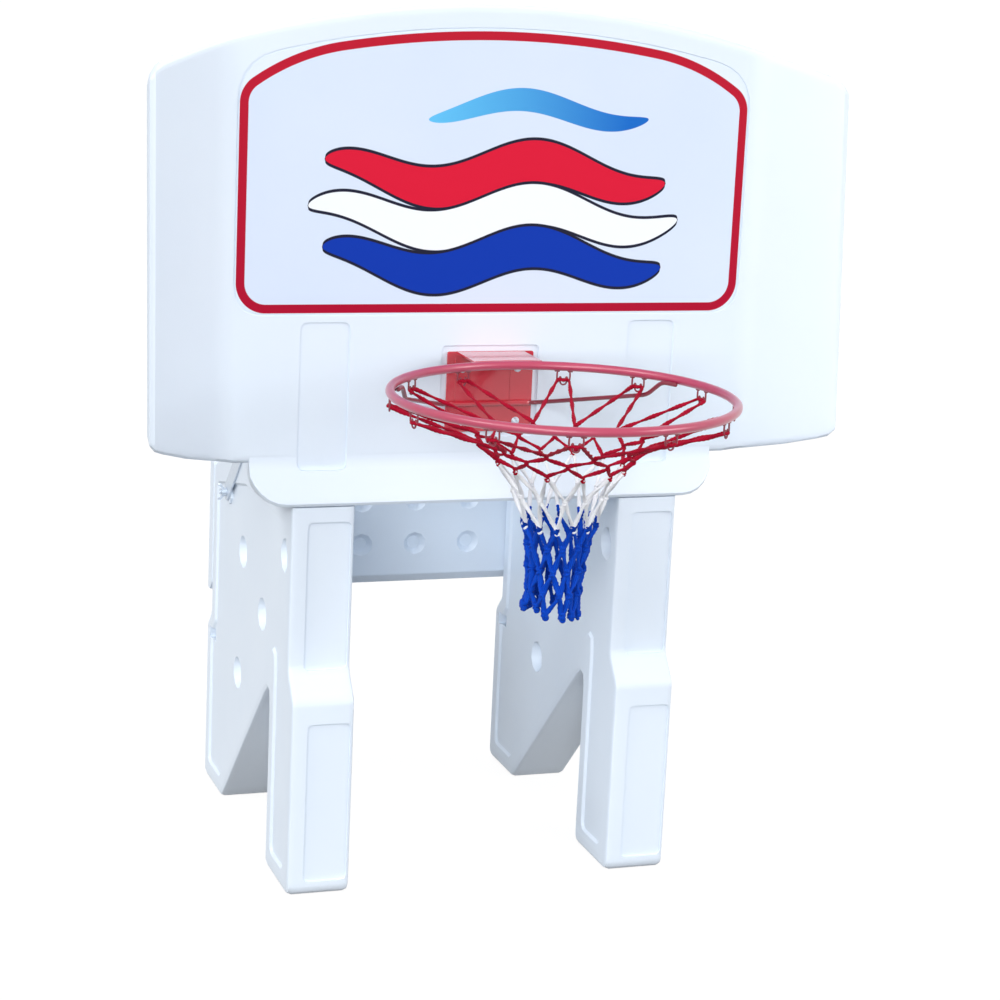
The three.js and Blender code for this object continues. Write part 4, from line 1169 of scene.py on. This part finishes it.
@dataclass
class Net:
    """The knotted net: flat braided cords that wind to both hands from each hook.

    Tilts and leans are shares of a unit, and a wrap is its place along a knot and its tilt.
    Its radius is a share of the cord's half width and one of its half thickness, and its bar a
    share of the half thickness, as wrap_size gives them. A tail's sizes are shares of that bar.
    """

    rim: Rim
    finishes: dict[str, Material]
    length: float = 0.294
    rows: tuple[NetRow, ...] = (
        NetRow(0.0, 236.5, 0.0, 3.2, 1.9),
        NetRow(0.171, 119.9, 2.8, 3.1, 1.8),
        NetRow(0.216, 108.1, 2.8, 3.0, 1.8, 0.0, 0.0, 3.0),
        NetRow(0.282, 90.1, 2.6, 2.9, 1.8, 0.0, -1.5, 6.0),
        NetRow(0.415, 65.0, 3.6, 3.3, 2.1, 0.0, 1.0, 2.0),
        NetRow(0.56, 50.0, 4.0, 3.3, 2.1, 1.0, 5.0),
        NetRow(0.655, 42.0, 6.5, 4.4, 2.6, 2.0, 3.0),
        NetRow(0.765, 37.0, 6.5, 4.5, 2.7, 0.5, 5.0),
        NetRow(0.875, 37.0, 7.0, 4.5, 2.7, -1.5, 3.0, 4.0),
        NetRow(0.975, 36.5, 3.0, 4.0, 2.6, -3.0, 3.0, 14.0),
    )
    bands: tuple[Band, ...] = (
        Band("red", 0.0, 3.0),
        Band("white", 3.0, 5.0),
        Band("blue", 4.62, 9.0, True),
    )
    tuck_row: float = 5.0
    tuck_depth: float = 0.006
    tuck_drop: float = 0.001
    tuck_width: float = 0.5
    top_gap: float = 0.0028
    bunched_turn: float = 195.0
    sway: Pair = (0.0011, 0.0016)
    sway_row: int = 3
    saddle: Pair = (0.0054, 0.0029)
    saddle_drop: float = 0.0195
    saddle_wave: float = 0.0006
    saddle_cord: Pair = (0.0022, 0.00165)
    saddle_turns: float = 1.04
    saddle_steps: int = 40
    leave: Pair = (0.0032, 0.0086)
    leave_drop: float = 0.0008
    turn_length: float = 0.085
    bend: float = 0.007
    step: float = 0.0013
    wraps: tuple[Pair, ...] = ((1.0, 0.4), (-1.0, -0.45))
    foot_wraps: tuple[Pair, ...] = ((1.4, 0.4), (0.0, -0.45), (-1.3, 0.2))
    foot_swell: float = 1.25
    foot_sway: float = 2.0
    side_share: float = 0.5
    fold_share: float = 0.8
    wrap_size: tuple[float, float, float] = (0.5, 0.6, 0.78)
    wrap_rise: float = 1.3
    wrap_lean: float = 0.3
    wrap_grid: tuple[int, int] = (14, 7)
    tail_drop: float = 2.0
    tail_lean: float = 0.6
    tail_size: Pair = (1.25, 1.3)
    tail_grid: tuple[int, int] = (12, 7)
    seed: int = 7
    top: float = field(init=False, default=0.0)

    def build(self) -> list[Piece]:
        """Builds the coloured bands."""
        self.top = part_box("net_red")[1].z - self.top_gap
        return [self.part(band) for band in self.bands]

    def knot_place(self, row: int, step: int) -> tuple[Array, Array, Array]:
        """Where one knot lies.

        Args:
            row: The knot's row.
            step: Its place round the row, in half spaces between hooks.

        Returns:
            Its middle, the level direction outwards and the level direction round the net.
        """
        count = 2 * len(self.rim.hook_turns)
        random = np.random.default_rng(self.seed + row * count + step % count)
        sway = random.normal(0.0, 1.0, 3) * self.sway[row > self.sway_row]
        here = self.rows[row]
        turn = TURN * step / count + math.radians(here.twist)
        out = np.array([math.cos(turn), math.sin(turn), 0.0])
        around = np.cross(UP, out)
        bunched = max(math.cos(turn - math.radians(self.bunched_turn)), 0.0) ** 2
        slack = sway[2] * (self.foot_sway if row == len(self.rows) - 1 else 1.0)
        middle = self.rim.centre + out * (here.spread * MM + sway[0]) + around * sway[1]
        middle[0] += here.shift * MM
        middle[2] = self.top - self.length * here.drop - slack + bunched * here.lift * MM
        return middle, out, around

    def strand(self, hook: int, hand: int) -> tuple[Array, Array]:
        """One cord from its hook to the foot.

        At a knot two cords come together side by side, turn half round each other over the
        row's run and part again: a cord's place in the run is its half thickness outwards or
        inwards at the middle, and its half width to one side or the other at the ends.

        Args:
            hook: The hook's number from 0.
            hand: 1 winds one way round, -1 the other.

        Returns:
            Points along the cord and the row that each has reached.
        """
        turn = self.rim.hook_turns[hook]
        along = self.rim.spoke(turn + 90) * hand
        foot = self.rim.centre + self.rim.spoke(turn) * self.rim.radius - UP * self.saddle_drop
        near, far = self.leave
        points = [foot + along * near, foot + along * far - UP * self.leave_drop]
        middles = [points[0]]
        for row in range(1, len(self.rows)):
            here = self.rows[row]
            middle, out, around = self.knot_place(row, 2 * hook + 1 + hand * row)
            run = UP * here.run * MM
            side = around * (hand * here.wide * self.side_share * MM)
            fold = out * (hand * here.thin * self.fold_share * MM)
            points += [middle + run - side, middle + fold, middle - run + side]
            middles.append(middle + fold)
        path = bent(np.array(points), self.bend, self.step)
        apart = np.linalg.norm(path[:, None] - np.array(middles)[None], axis=2)
        nearest = np.argmin(apart, axis=0)
        return path, np.interp(np.arange(len(path)), nearest, np.arange(len(middles)))

    def part(self, band: Band) -> Piece:
        """Builds the cords, hitches and knots of one band.

        Args:
            band: The band.

        Returns:
            The new piece.
        """
        skin = Skin()
        axis = self.rim.centre * LEVEL
        rows = np.arange(len(self.rows))
        widths = np.array([[row.wide, row.thin] for row in self.rows]).T * MM
        for hook in range(len(self.rim.hook_turns)):
            for hand in (-1, 1):
                path, marks = self.strand(hook, hand)
                held = (marks >= band.first) & (marks <= band.last)
                path, marks = path[held], marks[held]
                wide, thin = (np.interp(marks, rows, size) for size in widths)
                if band.tucked:
                    above = np.clip(self.tuck_row - marks, 0.0, 1.0)[:, None] * self.tuck_depth
                    path = path - unit(path * LEVEL - axis) * above - UP * self.tuck_drop
                    wide = wide * np.clip(1.0 - (self.tuck_row - marks), self.tuck_width, 1.0)
                reach = np.linspace(0.0, 1.0, len(path)) * len(path) * self.step
                random = np.random.default_rng(self.seed + 100 * hook + hand)
                start = random.uniform(0.0, math.pi)
                roll = start + reach * (TURN / self.turn_length) * hand
                braid(skin, path, wide, thin, roll, path * LEVEL - axis)
            self.knots(skin, hook, band)
            if band.first == 0.0:
                self.hitch(skin, hook)
        colour = band.colour
        finish = self.finishes[f"{colour}_cord"]
        return skin.piece(f"net_cord_{colour}", finish, f"{colour}_cord", f"net_{colour}")

    def hitch(self, skin: Skin, hook: int) -> None:
        """Adds the loop of cord that holds a hook's open ring.

        Args:
            skin: Where the surface goes.
            hook: The hook's number from 0.
        """
        turn = self.rim.hook_turns[hook]
        out, along = self.rim.spoke(turn), self.rim.spoke(turn + 90)
        middle = self.rim.centre + out * self.rim.radius - UP * self.saddle_drop
        angle = np.linspace(0.0, TURN * self.saddle_turns, self.saddle_steps)[:, None]
        wide, deep = self.saddle
        path = middle + along * wide * np.cos(angle) + out * deep * np.sin(angle)
        path = path + UP * self.saddle_wave * np.cos(2.0 * angle)
        quarter = np.full(len(path), math.pi / 2)
        braid(skin, path, *self.saddle_cord, quarter, UP)

    def knots(self, skin: Skin, hook: int, band: Band) -> None:
        """Adds a band's knots under one hook.

        A knot is two wraps of cord, or three at the foot, and the band's last knot has a
        small loop under it.

        Args:
            skin: Where the surface goes.
            hook: The hook's number from 0.
            band: The band.
        """
        final = len(self.rows) - 1
        wide, thin, bar = self.wrap_size
        for row in range(int(band.first) + 1, int(band.last) + 1):
            here = self.rows[row]
            middle, out, around = self.knot_place(row, 2 * hook + 1 + row)
            large = (here.wide * wide + here.thin * thin) * MM
            small = here.thin * bar * MM
            swell = self.foot_swell if row == final else 1.0
            wraps = self.foot_wraps if row == final else self.wraps
            for index, (lift, tilt) in enumerate(wraps):
                lean = UP + around * tilt + out * (self.wrap_lean - self.wrap_lean * index)
                place = middle + UP * (lift * small * self.wrap_rise)
                hoop_ring(skin, place, lean, large, small * swell, *self.wrap_grid)
            if row == int(band.last):
                tail = middle - UP * (here.thin * self.tail_drop * MM) + around * MM
                sizes = (small * share for share in self.tail_size)
                hoop_ring(skin, tail, out + UP * self.tail_lean, *sizes, *self.tail_grid)


@dataclass
class CarriedParts:
    """Nodes that keep their shape and get their finish, with their edges eased."""

    finishes: dict[str, Material]
    merge: float = 1e-5
    ease_width: float = 0.0004
    sharp: float = math.radians(32)

    def build(self) -> None:
        """Dresses every node by its material slot, and eases all but the flat film."""
        slots = {row["node"]: row["material_slot"] for row in frame["record"]["subparts"]}
        for name, node in frame["nodes"].items():
            node.data.materials.clear()
            node.data.materials.append(self.finishes[slots[name]])
            if name == "face_decal":
                continue
            weld = node.modifiers.new("weld", "WELD")
            weld.merge_threshold = self.merge
            ease = node.modifiers.new("ease", "BEVEL")
            ease.width = self.ease_width
            ease.segments = 2
            ease.limit_method = "ANGLE"
            ease.angle_limit = self.sharp


# Studio


@dataclass(frozen=True)
class Viewpoint:
    """Where the photograph was taken from, relative to the rim's middle."""

    offset: tuple[float, float, float] = (-1.22244, -3.25942, 0.65814)
    yaw: float = 0.3356
    pitch: float = -0.2279
    roll: float = 0.0473
    focal: float = 2586.2
    frame_width: float = 1000.0
    sensor: float = 36.0
    far: float = 400.0

    def place(self, centre: Array) -> None:
        """Adds the camera, turned by its yaw, then its pitch, then its roll.

        Args:
            centre: The rim's middle.
        """
        data = bpy.data.cameras.new("camera")
        data.sensor_width = self.sensor
        data.lens = self.focal / self.frame_width * self.sensor
        data.clip_end = self.far
        yaw = Matrix.Rotation(-self.yaw, 4, "Z")
        pitch = Matrix.Rotation(math.pi / 2 + self.pitch, 4, "X")
        roll = Matrix.Rotation(self.roll, 4, "Z")
        camera = linked("camera", data)
        place = Matrix.Translation(Vector(centre) + Vector(self.offset))
        camera.matrix_world = place @ yaw @ pitch @ roll
        bpy.context.scene.camera = camera


@dataclass(frozen=True)
class Studio:
    """A pale floor under soft light that comes evenly from all sides.

    Each lamp has its name, its light in watts on a square metre, its tilt from straight down
    and its heading, in radians.
    """

    zenith: float = 0.6
    horizon: float = 0.74
    fall: float = 1.5
    lamps: tuple[tuple[str, float, float, float], ...] = (
        ("front", 1.0, 1.44, -0.38),
        ("near_left", 0.85, 1.1, -0.72),
        ("left", 0.88, 0.98, -1.35),
        ("right", 1.05, 1.25, 0.9),
        ("rear", 0.9, 1.15, 2.9),
    )
    lamp_spread: float = 0.36
    floor_shade: Colour = (89, 89, 89)
    floor_glow: float = 0.93
    floor_size: float = 160.0

    def build(self) -> None:
        """Adds the world, the lamps and the floor."""
        scene = bpy.context.scene
        scene.view_settings.view_transform = "Standard"
        scene.world = bpy.data.worlds.new("studio")
        scene.world.use_nodes = True
        graph = Graph(scene.world.node_tree)
        seen = self.seen(graph)
        way = graph.out(graph.node("ShaderNodeTexCoord"), "Generated")
        rise = graph.parts(way)[2].clamped()
        light = (1.0 - rise) ** self.fall * (self.horizon - self.zenith) + self.zenith
        inputs = {"Color": WHITE, "Strength": light * (1.0 - seen) + seen}
        back = graph.node("ShaderNodeBackground", None, inputs)
        graph.node("ShaderNodeOutputWorld", None, {"Surface": graph.out(back)})
        for name, strength, tilt, heading in self.lamps:
            data = bpy.data.lights.new(name, "SUN")
            data.energy = strength
            data.angle = self.lamp_spread
            linked(name, data).rotation_euler = (tilt, 0.0, heading)
        self.floor()

    def seen(self, graph: Graph) -> Signal:
        """Tells the camera's looks apart from the light on the object.

        Args:
            graph: The nodes to add to.

        Returns:
            1 where the camera, a reflection or glass looks, and 0 elsewhere.
        """
        path = graph.node("ShaderNodeLightPath")
        rays = ("Is Camera Ray", "Is Glossy Ray", "Is Transmission Ray")
        first, second, third = (graph.out(path, ray) for ray in rays)
        return (first + second + third).clamped()

    def floor(self) -> None:
        """Adds the floor, which looks white and keeps the object's soft shadow."""
        made, graph = material("pale_floor")
        glow = self.seen(graph) * self.floor_glow
        plain = graph.node("ShaderNodeBsdfDiffuse", None, {"Color": self.floor_shade})
        light = graph.node("ShaderNodeEmission", None, {"Color": WHITE, "Strength": glow})
        both = graph.node("ShaderNodeAddShader", None, {0: graph.out(plain), 1: graph.out(light)})
        graph.node("ShaderNodeOutputMaterial", None, {"Surface": graph.out(both)})
        half = self.floor_size / 2
        mesh = bpy.data.meshes.new("floor")
        corners = [(-half, -half, 0.0), (half, -half, 0.0), (half, half, 0.0), (-half, half, 0.0)]
        mesh.from_pydata(corners, [], [(0, 1, 2, 3)])
        mesh.materials.append(made)
        linked("floor", mesh)


def middle_of(node: str) -> Array:
    """The middle of a node's box."""
    low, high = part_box(node)
    return (np.array(low) + np.array(high)) / 2.0


def main() -> None:
    """Builds the studio and every piece, in order."""
    logging.basicConfig(level=logging.INFO, format="%(name)s: %(message)s")
    centre = middle_of("rim_ring")
    Viewpoint().place(centre)
    Studio().build()
    plastic = MouldedPlastic().make()
    red = Enamel("red_enamel", (196, 42, 60), (186, 35, 52), 0.2, 1.0, 0.08).make()
    # The ring's enamel is the red enamel with a bluer tint, and that tint is painted reflection of
    # the sky.
    ring_red_painted_sky = Enamel("ring_enamel_painted_sky", (178, 44, 84), (166, 36, 72), 0.38, 1.0, 0.31).make()
    dark_red = Enamel("dark_red_enamel", (132, 34, 54), (116, 26, 44)).make()
    zinc = PlatedSteel().make()
    low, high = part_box("face_decal")
    finishes = {
        "white_plastic": plastic,
        "cap_plastic": plastic,
        "decal_film": PrintedFace(high.x, low.z, high.z).make(),
        "red_enamel": red,
        "dark_red_enamel": dark_red,
        # Each cord's second colour is painted shade for the gaps between its plaits.
        "red_cord": BraidedCord("red_braid", (188, 4, 46), (88, 2, 26)).make(),
        "white_cord": BraidedCord("white_braid", (250, 252, 255), (218, 224, 236)).make(),
        "blue_cord": BraidedCord("blue_braid", (0, 76, 206), (0, 32, 114)).make(),
        "zinc_steel": zinc,
        "gasket_rubber": Rubber().make(),
    }
    CarriedParts(finishes).build()
    rim = Rim(centre, ring_red_painted_sky, red, dark_red, zinc)
    pieces = [*MouldedShells(plastic).build(), *rim.build(), *Net(rim, finishes).build()]
    for piece in pieces:
        LOG.info("%s: %d faces", piece.name, len(piece.data.polygons))


if __name__ == "__main__":
    main()
